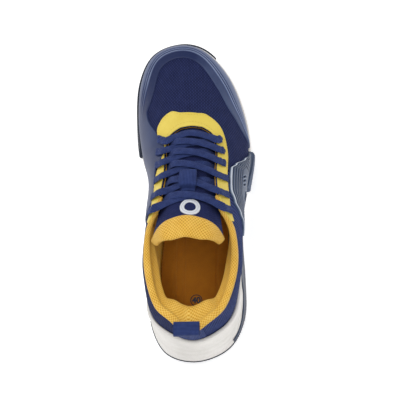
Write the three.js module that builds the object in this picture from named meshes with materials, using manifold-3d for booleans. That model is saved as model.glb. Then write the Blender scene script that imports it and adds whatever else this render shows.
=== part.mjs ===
// A right-foot court shoe, built the way a shoe factory builds it: a cup midsole on a split rubber outsole,
// a lasted upper of vamp, quarters, linings and stiffeners, moulded overlays, a padded tongue, a flat lace.
// Millimetres. +Y points at the toe, +X to the outer (lateral) side of the foot, +Z up.
// The origin is the centre of the shoe's footprint, on the ground.
import * as THREE from 'three';
import { mergeVertices } from 'three/addons/utils/BufferGeometryUtils.js';
import Module from 'manifold-3d';

// ---- overall sizes -------------------------------------------------------------------------------------
const SHOE_LENGTH = 288; // outsole, heel to toe: a last of 40 Paris points (266.7) and the sole's overhang
const SHOE_WIDTH = 105; // outsole across the ball, outrigger included
const SHOE_HEIGHT = 92; // ground to the top of the heel collar

// ---- sole ----------------------------------------------------------------------------------------------
const OUTSOLE_THICKNESS = 4;
const TOE_SPRING = 13; // how far the sole's tip is clear of the ground
const HEEL_BEVEL = 4; // how far the heel's back edge is clear of the ground
const ARCH_RISE = 3.5; // how far the midfoot is clear of the outsole's own plane
const CUP_WALL = 3.2; // thickness of the foam wall around the upper, at its rim
const SOLE_EDGE_ROUND = 1.5;
const OUTSOLE_INSET = 1;
const SHANK_THICKNESS = 2.2;
const TREAD_GROOVE_WIDTH = 2.4;
const TREAD_GROOVE_DEPTH = 2;
const TREAD_GROOVE_PITCH = 17;
const TREAD_CHEVRON_ANGLE = 0.42; // radians, how far each half of a groove slants
const WRAP_THICKNESS = 1.8; // rubber that wraps up the toe and the inner forefoot
const OUTRIGGER_THICKNESS = 3;
const STABILISER_THICKNESS = 1.4;

// ---- upper ---------------------------------------------------------------------------------------------
const MESH_THICKNESS = 1.5;
const LINING_THICKNESS = 1;
const STIFFENER_THICKNESS = 1;
const PAD_HEEL = 17; // collar foam at the back of the heel
const PAD_ANKLE = 11.5; // collar foam beside the ankle
const OVERLAY_THICKNESS = 1.3; // moulded film on the toe and inner side
const EYESTAY_THICKNESS = 0.9;
const CAGE_THICKNESS = 1.8; // moulded chevron cage on the outer side
const BOARD_THICKNESS = 1.3;
const SOCKLINER_THICKNESS = 4;
const SOCKLINER_CLOTH = 0.7;
const GAP = 0.3; // between pieces that touch
const OVERLAY_GAP = 0.65; // under a moulded overlay, whose facets differ from the mesh's

// ---- tongue --------------------------------------------------------------------------------------------
const TONGUE_SKIN = 1.2;
const TONGUE_PAD = 7.5; // foam in the tongue's free end
const TONGUE_ROLL = 11; // how far the padded end stands past the knit face, at its middle
const TONGUE_EAR = 4; // and at its two corners
const TONGUE_BACK_SWING = 6; // degrees that the free end can lean back
const TONGUE_HINGE = 0.83; // share of the tongue's length below the flexing line
const KEEPER_WIDTH = 12;
const KEEPER_THICKNESS = 0.9;
const BADGE_WIDTH = 17;
const BADGE_THICKNESS = 0.8;

// ---- lace ----------------------------------------------------------------------------------------------
const LACE_WIDTH = 6.4;
const LACE_THICKNESS = 1.4;
const EYELET_DIAMETER = 4.8;
const AGLET_DIAMETER = 3;
const AGLET_LENGTH = 22;

// ---- heel loop -----------------------------------------------------------------------------------------
const LOOP_WIDTH = 21;
const LOOP_REACH = 11; // how far the loop stands out from its stitching
const LOOP_OPENING = 4.6; // clear height for a fingertip
const LOOP_THICKNESS = 1.3;

// ---- the master shape ----------------------------------------------------------------------------------
// The upper's outer face at 22 stations round the foot. Station 0 is the back of the heel, 1 to 10 run up
// the inner side, 11 is the tip of the toe, and 12 to 21 come back down the outer side, so station u stands
// opposite station 22 - u. Each row climbs from the feather edge, where the upper meets the footbed, through
// the bulge, the middle and the shoulder, to the edge of the foot opening.
const MASTER = { length: 288, width: 105, height: 92 };
const UPPER = [
  [[0.5, -127, 27.5], [0.5, -131.5, 45], [0.5, -130, 62], [0.5, -127.5, 78], [0, -134.5, 91]],
  [[-19, -120, 27], [-22.5, -122.5, 45], [-21, -121, 61], [-17.5, -118.5, 75], [-14.5, -122.5, 86]],
  [[-31, -103, 27], [-36.5, -105.5, 44], [-36, -105, 58], [-32.5, -105, 70], [-29.5, -106.5, 77.5]],
  [[-32, -72, 26.5], [-39, -73, 40], [-41.5, -73, 52], [-41.5, -73, 62], [-38.5, -74, 70.5]],
  [[-30, -37, 24.5], [-36, -38, 38], [-38.5, -40, 52], [-39.5, -42, 65], [-37, -44, 76]],
  [[-27, -18, 22], [-33.5, -20, 34], [-38.5, -21, 50], [-35.5, -23, 72], [-26.5, -25, 88]],
  [[-27.5, 12, 18.5], [-35, 10, 28], [-38.5, 8, 40], [-34, 5, 60], [-22.5, 4, 76]],
  [[-37, 43, 16.5], [-44.5, 40, 25], [-44.5, 37, 36], [-36, 33, 52], [-22.5, 28, 66.5]],
  [[-43.5, 76, 16.2], [-49.5, 75, 25], [-47.5, 71, 36], [-36, 61, 51], [-19, 44, 63]],
  [[-43, 107, 18.5], [-47.5, 108, 28], [-43, 103, 39], [-27, 82, 53], [-11, 51, 63.5]],
  [[-32.5, 128, 21.5], [-36, 131.5, 31], [-31.5, 123.5, 41.5], [-18, 91, 53], [-5.5, 52.5, 63.8]],
  [[-12.5, 135, 23.5], [-13, 140, 32], [-12, 131, 42.5], [-7, 97, 52.5], [0.3, 53, 64]],
  [[7.5, 129, 22], [9.5, 133, 31], [7.5, 125, 41.5], [4, 91, 53], [6, 52.5, 63.8]],
  [[26.5, 107, 18.5], [30, 108.5, 28], [26.5, 102, 39.5], [17, 80, 53], [11.5, 51, 63.5]],
  [[37.5, 75, 16.2], [42.5, 74, 25], [40.5, 70, 36], [31, 60, 51], [19.5, 44, 63]],
  [[41, 42, 16.5], [47, 40, 24], [46.5, 36, 35], [37, 32, 52], [23, 28, 66.5]],
  [[35, 12, 18.5], [43, 10, 27], [44.5, 8, 40], [37, 5, 60], [23, 4, 76]],
  [[32, -18, 22], [39, -20, 33], [43.5, -21, 48], [39, -23, 70], [27.5, -25, 88]],
  [[32.5, -37, 24.5], [39, -38, 36], [43, -40, 50], [41.5, -42, 64], [37.5, -44, 75]],
  [[32, -72, 26.5], [39, -73, 38], [42, -73, 50], [42.5, -73, 60], [39, -74, 68.5]],
  [[30.5, -103, 27], [35, -105, 44], [35.5, -105, 57], [33, -106, 69], [30.5, -107.5, 76]],
  [[19, -120.5, 27], [22, -123, 45], [20.5, -121, 61], [17.5, -119.5, 75], [16, -124.5, 85.5]],
];
// The sole's widest outline at the same 22 stations.
const SOLE = [
  [0, -144], [-27, -136], [-40.5, -110], [-41.5, -75], [-37, -40], [-35, -15], [-39, 9], [-49.5, 40],
  [-52.5, 76], [-50.5, 107], [-37.5, 134], [-12.5, 144], [11.5, 136], [33, 107.5], [45.2, 76], [49, 42],
  [44.5, 9], [40.5, -15], [40, -40], [42, -75], [41, -107], [27.5, -132.5],
];
// Height of the cup wall's rim at each station, as a share of the way up the upper.
const RIM = [
  0.31, 0.3, 0.25, 0.14, 0.12, 0.13, 0.18, 0.2, 0.2, 0.18, 0.19, 0.19, 0.19, 0.18, 0.2, 0.2, 0.18, 0.15,
  0.14, 0.18, 0.23, 0.3,
];
const STATIONS = UPPER.length;
const KX = SHOE_WIDTH / MASTER.width;
const KY = SHOE_LENGTH / MASTER.length;
const KZ = SHOE_HEIGHT / MASTER.height;

// ---- small helpers -------------------------------------------------------------------------------------
const V3 = (x, y, z) => new THREE.Vector3(x, y, z);
const scaled = ([x, y, z = 0]) => V3(x * KX, y * KY, z * KZ);
const lerp = THREE.MathUtils.lerp;
const smoothstep = THREE.MathUtils.smoothstep;
const clamp = THREE.MathUtils.clamp;

// A value read off a short table of [place, value] pairs, eased between them.
function table(rows, at) {
  if (at <= rows[0][0]) return rows[0][1];
  for (let i = 1; i < rows.length; i++) {
    const [x0, y0] = rows[i - 1];
    const [x1, y1] = rows[i];
    if (at <= x1) return lerp(y0, y1, smoothstep(at, x0, x1));
  }
  return rows[rows.length - 1][1];
}

// A closed ring of station values as a smooth curve; stations run 0 to 22 and start again.
function ringCurve(points) {
  const curve = new THREE.CatmullRomCurve3(points, true, 'catmullrom', 0.5);
  return (u) => curve.getPoint(((u / STATIONS) % 1 + 1) % 1);
}
const upperRings = UPPER[0].map((_, level) => ringCurve(UPPER.map((row) => scaled(row[level]))));
const soleRing = ringCurve(SOLE.map(scaled));
const rimRing = ringCurve(RIM.map((share) => V3(share, 0, 0)));
const rimShare = (u) => rimRing(u).x;

// The upper's outer face at station u and share v of the way up from the feather edge to the opening.
function face(u, v) {
  const climb = new THREE.CatmullRomCurve3(upperRings.map((ring) => ring(u)), false, 'catmullrom', 0.5);
  return climb.getPoint(clamp(v, 0, 1));
}

// Unit vectors there: out of the shoe, up along the face, and inwards to the foot.
const STEP = 0.02;
function frameAt(u, v) {
  const here = clamp(v, 0, 1);
  const around = face(u + STEP, here).sub(face(u - STEP, here));
  const up = face(u, Math.min(1, here + STEP)).sub(face(u, Math.max(0, here - STEP))).normalize();
  const out = V3().crossVectors(around, up).negate().normalize();
  const point = face(u, here);
  const middle = V3(0, Math.max(point.y, -70 * KY), point.z);
  const inward = middle.sub(point).normalize().multiplyScalar(1.5).sub(out).normalize();
  return { point, up, out, inward };
}

// A point on a layer of the upper: `depth` in from the face, then `pad` further towards the foot, `lift`
// beyond the edge.
function layerPoint(u, v, depth, pad = 0, lift = 0) {
  const { point, up, out, inward } = frameAt(u, v);
  return point.addScaledVector(out, -depth).addScaledVector(inward, pad).addScaledVector(up, lift);
}

// ---- solids --------------------------------------------------------------------------------------------
const wasm = await Module();
wasm.setup();

// Turns corner points and triangles into a geometry whose faces point out.
function closedGeometry(points, triangles) {
  const volume = triangles.reduce(
    (sum, [a, b, c]) => sum + points[a].dot(V3().crossVectors(points[b], points[c])), 0);
  const order = volume < 0 ? ([a, b, c]) => [a, c, b] : (t) => t;
  const geometry = new THREE.BufferGeometry().setFromPoints(points);
  geometry.setIndex(triangles.flatMap(order));
  return geometry;
}

function toSolid(geometry) {
  const bare = geometry.index ? geometry.toNonIndexed() : geometry.clone();
  const merged = mergeVertices(
    new THREE.BufferGeometry().setAttribute('position', bare.getAttribute('position')), 1e-4);
  return new wasm.Manifold(new wasm.Mesh({
    numProp: 3,
    vertProperties: new Float32Array(merged.attributes.position.array),
    triVerts: new Uint32Array(merged.index.array),
  }));
}

function toGeometry(solid) {
  const { vertProperties, triVerts } = solid.getMesh();
  const geometry = new THREE.BufferGeometry();
  geometry.setAttribute('position', new THREE.BufferAttribute(new Float32Array(vertProperties), 3));
  geometry.setIndex(new THREE.BufferAttribute(new Uint32Array(triVerts), 1));
  return geometry;
}

// Sweeps a ladder of two point rows, a and b, along a list of places. A closed sweep joins its ends.
function sweep(places, ladder, closed = false) {
  const rows = places.map(ladder);
  const n = rows[0].a.length;
  const points = rows.flatMap(({ a, b }) => [...a, ...b]);
  const at = (row, i) => (row % rows.length) * 2 * n + i; // 0..n-1 is row a, n..2n-1 is row b
  const loop = [...Array(n).keys(), ...[...Array(n).keys()].reverse().map((i) => n + i)];
  const triangles = [];
  const spans = closed ? rows.length : rows.length - 1;
  for (let r = 0; r < spans; r++) {
    loop.forEach((i, k) => {
      const j = loop[(k + 1) % loop.length];
      const [p, q, s, t] = [at(r, i), at(r, j), at(r + 1, j), at(r + 1, i)];
      if (i < n) triangles.push([p, q, s], [p, s, t]);
      else triangles.push([p, q, t], [q, s, t]); // both faces share one pattern of diagonals
    });
  }
  if (!closed) {
    for (let i = 0; i < n - 1; i++) {
      const last = rows.length - 1;
      triangles.push([at(0, i), at(0, n + i), at(0, n + i + 1)], [at(0, i), at(0, n + i + 1), at(0, i + 1)]);
      triangles.push([at(last, i), at(last, n + i + 1), at(last, n + i)],
        [at(last, i), at(last, i + 1), at(last, n + i + 1)]);
    }
  }
  return closedGeometry(points, triangles);
}

// Stacks closed rings of points, each with its station u opposite station 22 - u, and closes the first and
// the last with strips from side to side.
function stack(rings) {
  const n = rings[0].length;
  const points = rings.flat();
  const triangles = [];
  for (let r = 0; r < rings.length - 1; r++) {
    for (let i = 0; i < n; i++) {
      const j = (i + 1) % n;
      triangles.push([r * n + i, r * n + j, (r + 1) * n + j], [r * n + i, (r + 1) * n + j, (r + 1) * n + i]);
    }
  }
  const across = (first, turned) => {
    for (let i = 0; i < n / 2; i++) {
      const [a, b] = [i, i + 1];
      const [c, d] = [(n - i - 1) % n, (n - i) % n];
      [[a, b, c], [a, c, d]].forEach(([p, q, s]) => {
        if (p === q || q === s || p === s) return;
        triangles.push(turned ? [first + p, first + s, first + q] : [first + p, first + q, first + s]);
      });
    }
  };
  across(0, true);
  across((rings.length - 1) * n, false);
  return closedGeometry(points, triangles);
}

// Stations from one to another with those of the master grid between them, so that layers share their lines.
const GRID = 3; // grid lines for each station
function stationsBetween(from, to, grid = GRID) {
  const inside = [];
  for (let k = Math.ceil(from * grid + 0.2); k < to * grid - 0.2; k++) inside.push(k / grid);
  return [from, ...inside, to];
}
const allStations = [...Array(STATIONS * GRID).keys()].map((k) => k / GRID);
const CLIMB = [0, 0.15, 0.3, 0.46, 0.62, 0.8, 1];

const shoe = new THREE.Group();
function add(name, geometry, color, roughness = 0.8, metalness = 0) {
  const mesh = new THREE.Mesh(geometry, new THREE.MeshStandardMaterial({ color, roughness, metalness }));
  mesh.name = name;
  shoe.add(mesh);
  return mesh;
}

const NAVY = 0x262f5c;
const SLATE = 0x44547c;
const YELLOW = 0xe6c95a;
const MUSTARD = 0xdfa52e;
const WHITE = 0xe9e7e2;
const RUBBER = 0x1d2431;
const TPU = 0x3f506c;
const STIFF_CLOTH = 0xd8cdb4;
const FOAM_GREY = 0xcfc7b8;
const FOAM_AMBER = 0xc98a2a;
const FIBREBOARD = 0xe8e4da;
const LABEL = 0xe4e4e2;
const LACE_BLUE = 0x2c3c70;
const WEBBING = 0x2b3a68;

// ---- ground, arch and footbed --------------------------------------------------------------------------
// Height of the outsole's underside above the ground at y: flat under the foot, rising to the toe and heel.
function groundRise(y) {
  const toe = clamp((y - 50 * KY) / (94 * KY), 0, 1);
  const heel = clamp((-118 * KY - y) / (26 * KY), 0, 1);
  return TOE_SPRING * toe * toe + HEEL_BEVEL * heel * heel;
}
const archRise = (y) => ARCH_RISE * smoothstep(y, -72 * KY, -50 * KY)
  * (1 - smoothstep(y, -14 * KY, 6 * KY));

// The sole's outline at station u, moved in by `inset`, at a height above the underside.
function soleEdge(u, inset, height) {
  const point = soleRing(u);
  const along = soleRing(u + STEP).sub(soleRing(u - STEP)).normalize();
  const edge = V3(point.x + along.y * inset, point.y - along.x * inset, 0);
  edge.z = groundRise(point.y) + height;
  return edge;
}

// ---- midsole -------------------------------------------------------------------------------------------
const SOLE_WIDEST = 9; // height of the widest line above the underside
const FOOTBED_DROP = 0.3;
const WALL_GAP = 0.4; // between the cup wall and the upper
function midsole() {
  const bottom = OUTSOLE_THICKNESS + GAP;
  const footbed = allStations.map((u) => layerPoint(u, 0, -WALL_GAP).setZ(face(u, 0).z - FOOTBED_DROP));
  const wall = (share, thickness) => allStations.map((u) => layerPoint(u, rimShare(u) * share, -thickness));
  const outline = (inset, height) => allStations.map((u) => {
    const edge = soleEdge(u, inset, height);
    return edge.setZ(edge.z + archRise(edge.y));
  });
  const flank = allStations.map((u) => {
    const low = soleEdge(u, 0, SOLE_WIDEST);
    const high = layerPoint(u, rimShare(u), -CUP_WALL);
    return low.lerp(high, 0.6).addScaledVector(frameAt(u, rimShare(u)).out, -0.8);
  });
  return stack([
    outline(SOLE_EDGE_ROUND, bottom),
    allStations.map((u) => soleEdge(u, 0, SOLE_WIDEST)),
    flank,
    wall(1, CUP_WALL),
    ...[1, 0.7, 0.35].map((share) => wall(share, WALL_GAP)),
    footbed,
  ]);
}
add('midsole', midsole(), WHITE, 0.7);

// ---- outsole, shank, toe wrap, outrigger and stabiliser ------------------------------------------------
const ACROSS = 4; // facets from side to side
// A plate under the foot between two stations of the inner side, from `low` to `high` above the underside.
function plate(from, to, inset, low, high) {
  const row = (u, height) => {
    const [inner, outer] = [soleEdge(u, inset, height), soleEdge(STATIONS - u, inset, height)];
    return [...Array(ACROSS + 1).keys()].map((k) => {
      const point = inner.clone().lerp(outer, k / ACROSS);
      return point.setZ(groundRise(point.y) + height);
    });
  };
  return sweep(stationsBetween(from, to), (u) => ({ a: row(u, high(u)), b: row(u, low(u)) }));
}

// Cuts chevron grooves across a plate, from y0 to y1.
function grooved(geometry, y0, y1) {
  let solid = toSolid(geometry);
  const length = SHOE_WIDTH;
  for (let y = y0; y <= y1; y += TREAD_GROOVE_PITCH) {
    [-1, 1].forEach((side) => {
      const bar = new THREE.BoxGeometry(length, TREAD_GROOVE_WIDTH, 2 * TREAD_GROOVE_DEPTH);
      bar.translate(side * length / 2, 0, 0);
      bar.rotateZ(side * TREAD_CHEVRON_ANGLE);
      bar.translate(0, y, groundRise(y));
      solid = solid.subtract(toSolid(bar));
    });
  }
  return toGeometry(solid);
}
const FOREFOOT_FROM = 6.05;
const HEEL_TO = 2.95;
const TOE_TIP = 10.88; // the outsole's last cross line, beside the tip at station 11
const HEEL_TIP = 0.14;
const flat = (height) => () => height;
const TREAD_FRONT = [18, 112]; // first and last groove of the forefoot, along the shoe
const TREAD_HEEL = [-124, -92];
add('outsole_forefoot', grooved(
  plate(FOREFOOT_FROM, TOE_TIP, OUTSOLE_INSET, flat(0), flat(OUTSOLE_THICKNESS)),
  ...TREAD_FRONT.map((y) => y * KY)), RUBBER, 0.9);
add('outsole_heel', grooved(
  plate(HEEL_TIP, HEEL_TO, OUTSOLE_INSET, flat(0), flat(OUTSOLE_THICKNESS)),
  ...TREAD_HEEL.map((y) => y * KY)), RUBBER, 0.9);

// The shank lies under the arch between the two outsole halves.
const shankTop = (u) => OUTSOLE_THICKNESS + archRise(soleRing(u).y) - GAP;
const SHANK_INSET = 5;
add('midfoot_shank', plate(HEEL_TO + 0.12, FOREFOOT_FROM - 0.1, SHANK_INSET,
  (u) => shankTop(u) - SHANK_THICKNESS, shankTop), TPU, 0.5);

// A skin on the midsole's side wall between two stations, from share `low` to `high` of the wall's height.
function wallPoint(u, share, out) {
  const low = soleEdge(u, 0, SOLE_WIDEST);
  const high = layerPoint(u, rimShare(u), -CUP_WALL);
  const middle = low.clone().lerp(high, 0.6).addScaledVector(frameAt(u, rimShare(u)).out, -0.8);
  const foot = soleEdge(u, SOLE_EDGE_ROUND, OUTSOLE_THICKNESS + GAP);
  foot.z += archRise(foot.y);
  const stops = [[0, foot], [0.3, low], [0.75, middle], [1, high]];
  const k = stops.findIndex(([at]) => share <= at);
  const [from, to] = [stops[Math.max(0, k - 1)], stops[k]];
  const point = k ? from[1].clone().lerp(to[1], (share - from[0]) / (to[0] - from[0])) : to[1].clone();
  const along = soleRing(u + STEP).sub(soleRing(u - STEP)).normalize();
  return point.add(V3(-along.y, along.x, 0).multiplyScalar(out));
}
const SKIN_GAP = 0.8; // between the midsole and what is bonded to its wall
const WALL_SHARES = [0, 0.3, 0.55, 0.75, 1];
function wallSkin(from, to, low, high, thickness) {
  return sweep(stationsBetween(from, to), (u) => {
    const shares = WALL_SHARES.map((s) => lerp(low(u), high(u), s));
    return {
      a: shares.map((s) => wallPoint(u, s, SKIN_GAP + thickness(u))),
      b: shares.map((s) => wallPoint(u, s, SKIN_GAP)),
    };
  });
}
// Rubber wrap: from the outer side of the toe, round the tip and down the inner forefoot.
add('toe_wrap', wallSkin(7.08, 12.45, flat(0.04),
  (u) => table([[7.08, 0.5], [7.5, 0.9], [9, 0.96], [11, 0.9], [12, 0.75], [12.45, 0.4]], u),
  flat(WRAP_THICKNESS)), RUBBER, 0.85);
// The outrigger: a thick rubber block on the outer side of the forefoot.
add('lateral_outrigger', wallSkin(14.95, 16.0, flat(0.04), flat(0.96),
  flat(OUTRIGGER_THICKNESS)), TPU, 0.6);
// The stabiliser: a moulded strip along the outer side of the heel.
add('lateral_stabiliser', wallSkin(16.1, 20.75,
  flat(0.3),
  (u) => table([[16.1, 0.9], [18, 0.95], [19.3, 0.97], [19.8, 0.75], [20.75, 0.42]], u),
  flat(STABILISER_THICKNESS)), TPU, 0.5);

// ---- inner layers of the upper -------------------------------------------------------------------------
const TOE_PUFF = { from: 26 / GRID, to: 40 / GRID, low: CLIMB[0], high: CLIMB[3] };
const COUNTER = { from: 59 / GRID, to: 73 / GRID, low: CLIMB[0], high: CLIMB[3] };
const EASE_ROUND = 0.35; // stations over which the upper closes down again beside a stiffener
const EASE_UP = 0.15; // and the share of its height above one
// How thick the stiffeners make the upper at (u, v), eased in just outside their own edges.
function stiffening(u, v) {
  const whole = u < STATIONS / 2 ? u + STATIONS : u;
  const share = (at, { from, to, high }) => smoothstep(at, from - EASE_ROUND, from)
    * (1 - smoothstep(at, to, to + EASE_ROUND))
    * (1 - smoothstep(v, high, high + EASE_UP));
  return (STIFFENER_THICKNESS + GAP) * Math.max(share(u, TOE_PUFF), share(whole, COUNTER));
}
// Thickness of the collar foam: greatest at the heel, gone at the lacing, fullest below the edge.
const PAD_ROUND = [[0, PAD_HEEL], [1, 14.5 / 17 * PAD_HEEL], [2, PAD_ANKLE], [3, PAD_ANKLE],
  [4, 0.5 * PAD_ANKLE], [4.6, 0.04 * PAD_ANKLE], [5, 0]];
const PAD_CLIMB = [[0, 0], [0.15, 0.06], [0.3, 0.38], [0.46, 0.78], [0.62, 1], [0.8, 0.92], [1, 0.24]];
function padding(u, v) {
  const near = u % STATIONS;
  return table(PAD_ROUND, Math.min(near, STATIONS - near)) * table(PAD_CLIMB, v);
}

// A layer of the upper between two stations, from v shares `climb`, between two depths.
function layer(stations, climb, outer, inner, closed = false) {
  return sweep(stations, (u) => ({
    a: climb.map((v) => layerPoint(u, v, outer(u, v))),
    b: climb.map((v) => layerPoint(u, v, inner(u, v))),
  }), closed);
}
const onFace = () => 0;
const underMesh = () => MESH_THICKNESS;
const liningOuter = (u, v) => MESH_THICKNESS + GAP + stiffening(u, v);
const liningInner = (u, v) => liningOuter(u, v) + LINING_THICKNESS;

// Round holes for the lace, square to the face.
const EYELET_U = [7.58, 7.03, 6.5, 5.93, 5.36, 4.82];
const EYELET_V = [0.92, 0.91, 0.9, 0.89, 0.89, 0.9];
const sideStation = (side, u) => (side < 0 ? u : STATIONS - u);
function withEyelets(geometry, diameter = EYELET_DIAMETER) {
  let solid = toSolid(geometry);
  [-1, 1].forEach((side) => EYELET_U.forEach((u, i) => {
    const { point, out } = frameAt(sideStation(side, u), EYELET_V[i]);
    const hole = new THREE.CylinderGeometry(diameter / 2, diameter / 2, 16, 8);
    hole.applyQuaternion(new THREE.Quaternion().setFromUnitVectors(V3(0, 1, 0), out));
    hole.translate(point.x, point.y, point.z);
    solid = solid.subtract(toSolid(hole));
  }));
  return toGeometry(solid);
}

const SEAM = 0.015; // half a seam's gap, in stations
const INNER_SEAM = 6.25; // side seams, under the overlay and the cage
const OUTER_SEAM = 15.75;
add('vamp_mesh', withEyelets(
  layer(stationsBetween(INNER_SEAM + SEAM, OUTER_SEAM - SEAM), CLIMB, onFace, underMesh)), NAVY, 0.95);
add('quarter_medial', withEyelets(
  layer(stationsBetween(SEAM, INNER_SEAM - SEAM), CLIMB, onFace, underMesh)), NAVY, 0.95);
add('quarter_lateral', withEyelets(
  layer(stationsBetween(OUTER_SEAM + SEAM, STATIONS - SEAM), CLIMB, onFace, underMesh)), NAVY, 0.95);

function stiffener({ from, to, low, high }) {
  const climb = CLIMB.filter((v) => v > low + 0.03 && v < high - 0.03);
  return layer(stationsBetween(from, to), [low, ...climb, high],
    () => MESH_THICKNESS + GAP, () => MESH_THICKNESS + GAP + STIFFENER_THICKNESS);
}
add('toe_puff', stiffener(TOE_PUFF), STIFF_CLOTH, 0.8);
add('heel_counter', stiffener(COUNTER), STIFF_CLOTH, 0.8);

const COLLAR_FROM = 16.65; // outer side, running through station 22 = 0
const COLLAR_TO = 27.35; // inner side, past station 22
add('vamp_lining', withEyelets(
  layer(stationsBetween(COLLAR_TO - STATIONS + SEAM, COLLAR_FROM - SEAM), CLIMB, liningOuter, liningInner)),
MUSTARD, 0.95);

// Collar foam, then the lining that covers it and turns over the edge of the quarters.
const FOAM = { from: 53 / GRID, to: 79 / GRID };
const FOAM_SLACK = 0.15; // the foam's room under its lining
const FOAM_CLIMB = CLIMB.filter((v) => v > 0.3);
add('collar_foam', sweep(stationsBetween(FOAM.from, FOAM.to), (u) => ({
  a: FOAM_CLIMB.map((v) => layerPoint(u, v, liningOuter(u, v))),
  b: FOAM_CLIMB.map((v) => layerPoint(u, v, liningOuter(u, v), padding(u, v) - FOAM_SLACK)),
})), FOAM_GREY, 0.9);
const TURN_OVER = 1.2; // thickness of the lining where it turns over the edge
const TURN_GAP = 0.8;
const collarLining = (from, to) => withEyelets(sweep(stationsBetween(from, to), (u) => {
  const depth = (v) => liningOuter(u, v) + GAP;
  return {
    a: [
      ...CLIMB.map((v) => layerPoint(u, v, depth(v) + LINING_THICKNESS, padding(u, v))),
      layerPoint(u, 1, depth(1) + LINING_THICKNESS, padding(u, 1), TURN_GAP + TURN_OVER),
      layerPoint(u, 1, 0, 0, TURN_GAP + TURN_OVER),
    ],
    b: [
      ...CLIMB.slice(0, -1).map((v) => layerPoint(u, v, depth(v), padding(u, v))),
      layerPoint(u, 1, depth(1), padding(u, 1), 0),
      layerPoint(u, 1, depth(1), padding(u, 1), TURN_GAP),
      layerPoint(u, 1, 0, 0, TURN_GAP),
    ],
  };
}));
// The lining's two halves meet in a seam up the back of the heel.
add('collar_lining_lateral', collarLining(COLLAR_FROM + SEAM, STATIONS - SEAM), MUSTARD, 0.95);
add('collar_lining_medial', collarLining(STATIONS + SEAM, COLLAR_TO - SEAM), MUSTARD, 0.95);

// ---- board and sockliner -------------------------------------------------------------------------------
function footplate(extra, low, high) {
  const ring = (height) => allStations.map((u) => {
    const depth = liningInner(u, 0) + GAP + extra;
    return layerPoint(u, 0, depth).setZ(face(u, 0).z + height);
  });
  return stack([ring(low), ring(high)]);
}
const BOARD_INSET = 0.3; // from the lining all round
const SOCKLINER_INSET = 0.5;
const boardLow = GAP;
const boardHigh = boardLow + BOARD_THICKNESS;
const socklinerLow = boardHigh + GAP;
const socklinerHigh = socklinerLow + SOCKLINER_THICKNESS;
add('strobel_board', footplate(BOARD_INSET, boardLow, boardHigh), FIBREBOARD, 0.9);
add('sockliner_foam', footplate(SOCKLINER_INSET, socklinerLow, socklinerHigh), FOAM_AMBER, 0.9);
const clothLow = socklinerHigh + GAP;
add('sockliner_cloth', footplate(SOCKLINER_INSET, clothLow, clothLow + SOCKLINER_CLOTH), MUSTARD, 0.9);

// ---- overlays ------------------------------------------------------------------------------------------
const OVERLAY_GRID = 4;
// A moulded skin on the upper between two stations, from v = low(u) to high(u).
function overlay(from, to, low, high, rows, thickness, gap = OVERLAY_GAP) {
  return sweep(stationsBetween(from, to, OVERLAY_GRID), (u) => {
    const climb = [...Array(rows + 1).keys()].map((k) => lerp(low(u), high(u), k / rows));
    return {
      a: climb.map((v) => layerPoint(u, v, -gap - thickness)),
      b: climb.map((v) => layerPoint(u, v, -gap)),
    };
  });
}
const aboveRim = (u) => rimShare(u) + 0.02;
const GUARD_TOP = [[8.03, 0.62], [9, 0.64], [10, 0.575], [11, 0.57], [12, 0.575], [13, 0.62], [14, 0.63],
  [14.5, 0.52], [14.88, 0.28]];
add('toe_guard', overlay(8.03, 14.88, aboveRim, (u) => table(GUARD_TOP, u), 5,
  OVERLAY_THICKNESS), SLATE, 0.55);
const EYESTAY_EDGE = [[4.35, 0.9], [5, 0.86], [6, 0.855], [7, 0.855], [8, 0.86], [9, 0.89], [10, 0.912],
  [11, 0.925], [12, 0.915], [13, 0.9], [14, 0.875], [15, 0.86], [16, 0.857], [17, 0.86], [17.7, 0.9]];
const INNER_OVERLAY_TOP = [[3.7, 0.2], [4.4, 0.55], [5, 0.82], [6, 0.84], [7, 0.84], [8, 0.845]];
add('medial_overlay', overlay(3.7, 7.99, aboveRim, (u) => table(INNER_OVERLAY_TOP, u), 7,
  OVERLAY_THICKNESS), SLATE, 0.55);
add('eyestay', withEyelets(overlay(4.35, 17.65, (u) => table(EYESTAY_EDGE, u), () => 0.995, 2,
  EYESTAY_THICKNESS)), YELLOW, 0.6);
const CAGE_GAP = 1;
const CAGE_TOP = [[15.02, 0.42], [15.2, 0.6], [15.45, 0.76], [15.62, 0.825], [16.4, 0.835], [16.8, 0.79],
  [17.2, 0.69], [17.6, 0.58], [18.1, 0.46]];
const CAGE_FOOT = [[16.15, 0], [16.5, 0.26], [16.8, 0.38], [17.2, 0.38], [17.6, 0.33], [18.1, 0.2]];
const cageFoot = (u) => aboveRim(u) + table(CAGE_FOOT, u);
const cageTop = (u) => table(CAGE_TOP, u);
add('lateral_cage', overlay(15.02, 18.1, cageFoot, cageTop, 6, CAGE_THICKNESS, CAGE_GAP), TPU, 0.5);

// ---- tongue --------------------------------------------------------------------------------------------
// How deep the lace runs under the lining, and how deep the tongue's edges lie under that.
const laceHalf = LACE_THICKNESS / 2;
const liningDepth = (u, v) => (u < COLLAR_TO - STATIONS ? padding(u, v) + GAP : 0) + liningInner(u, v);
const THROAT_CURVE = 17; // radius of the upper across the lace's width, at its tightest
const laceSag = LACE_WIDTH * LACE_WIDTH / (8 * THROAT_CURVE); // a flat lace bridges that curve
const underLining = (u, v) => liningDepth(u, v) + GAP + laceHalf + laceSag;
const underLace = (u, v) => underLining(u, v) + laceHalf + GAP + 0.8;

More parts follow.
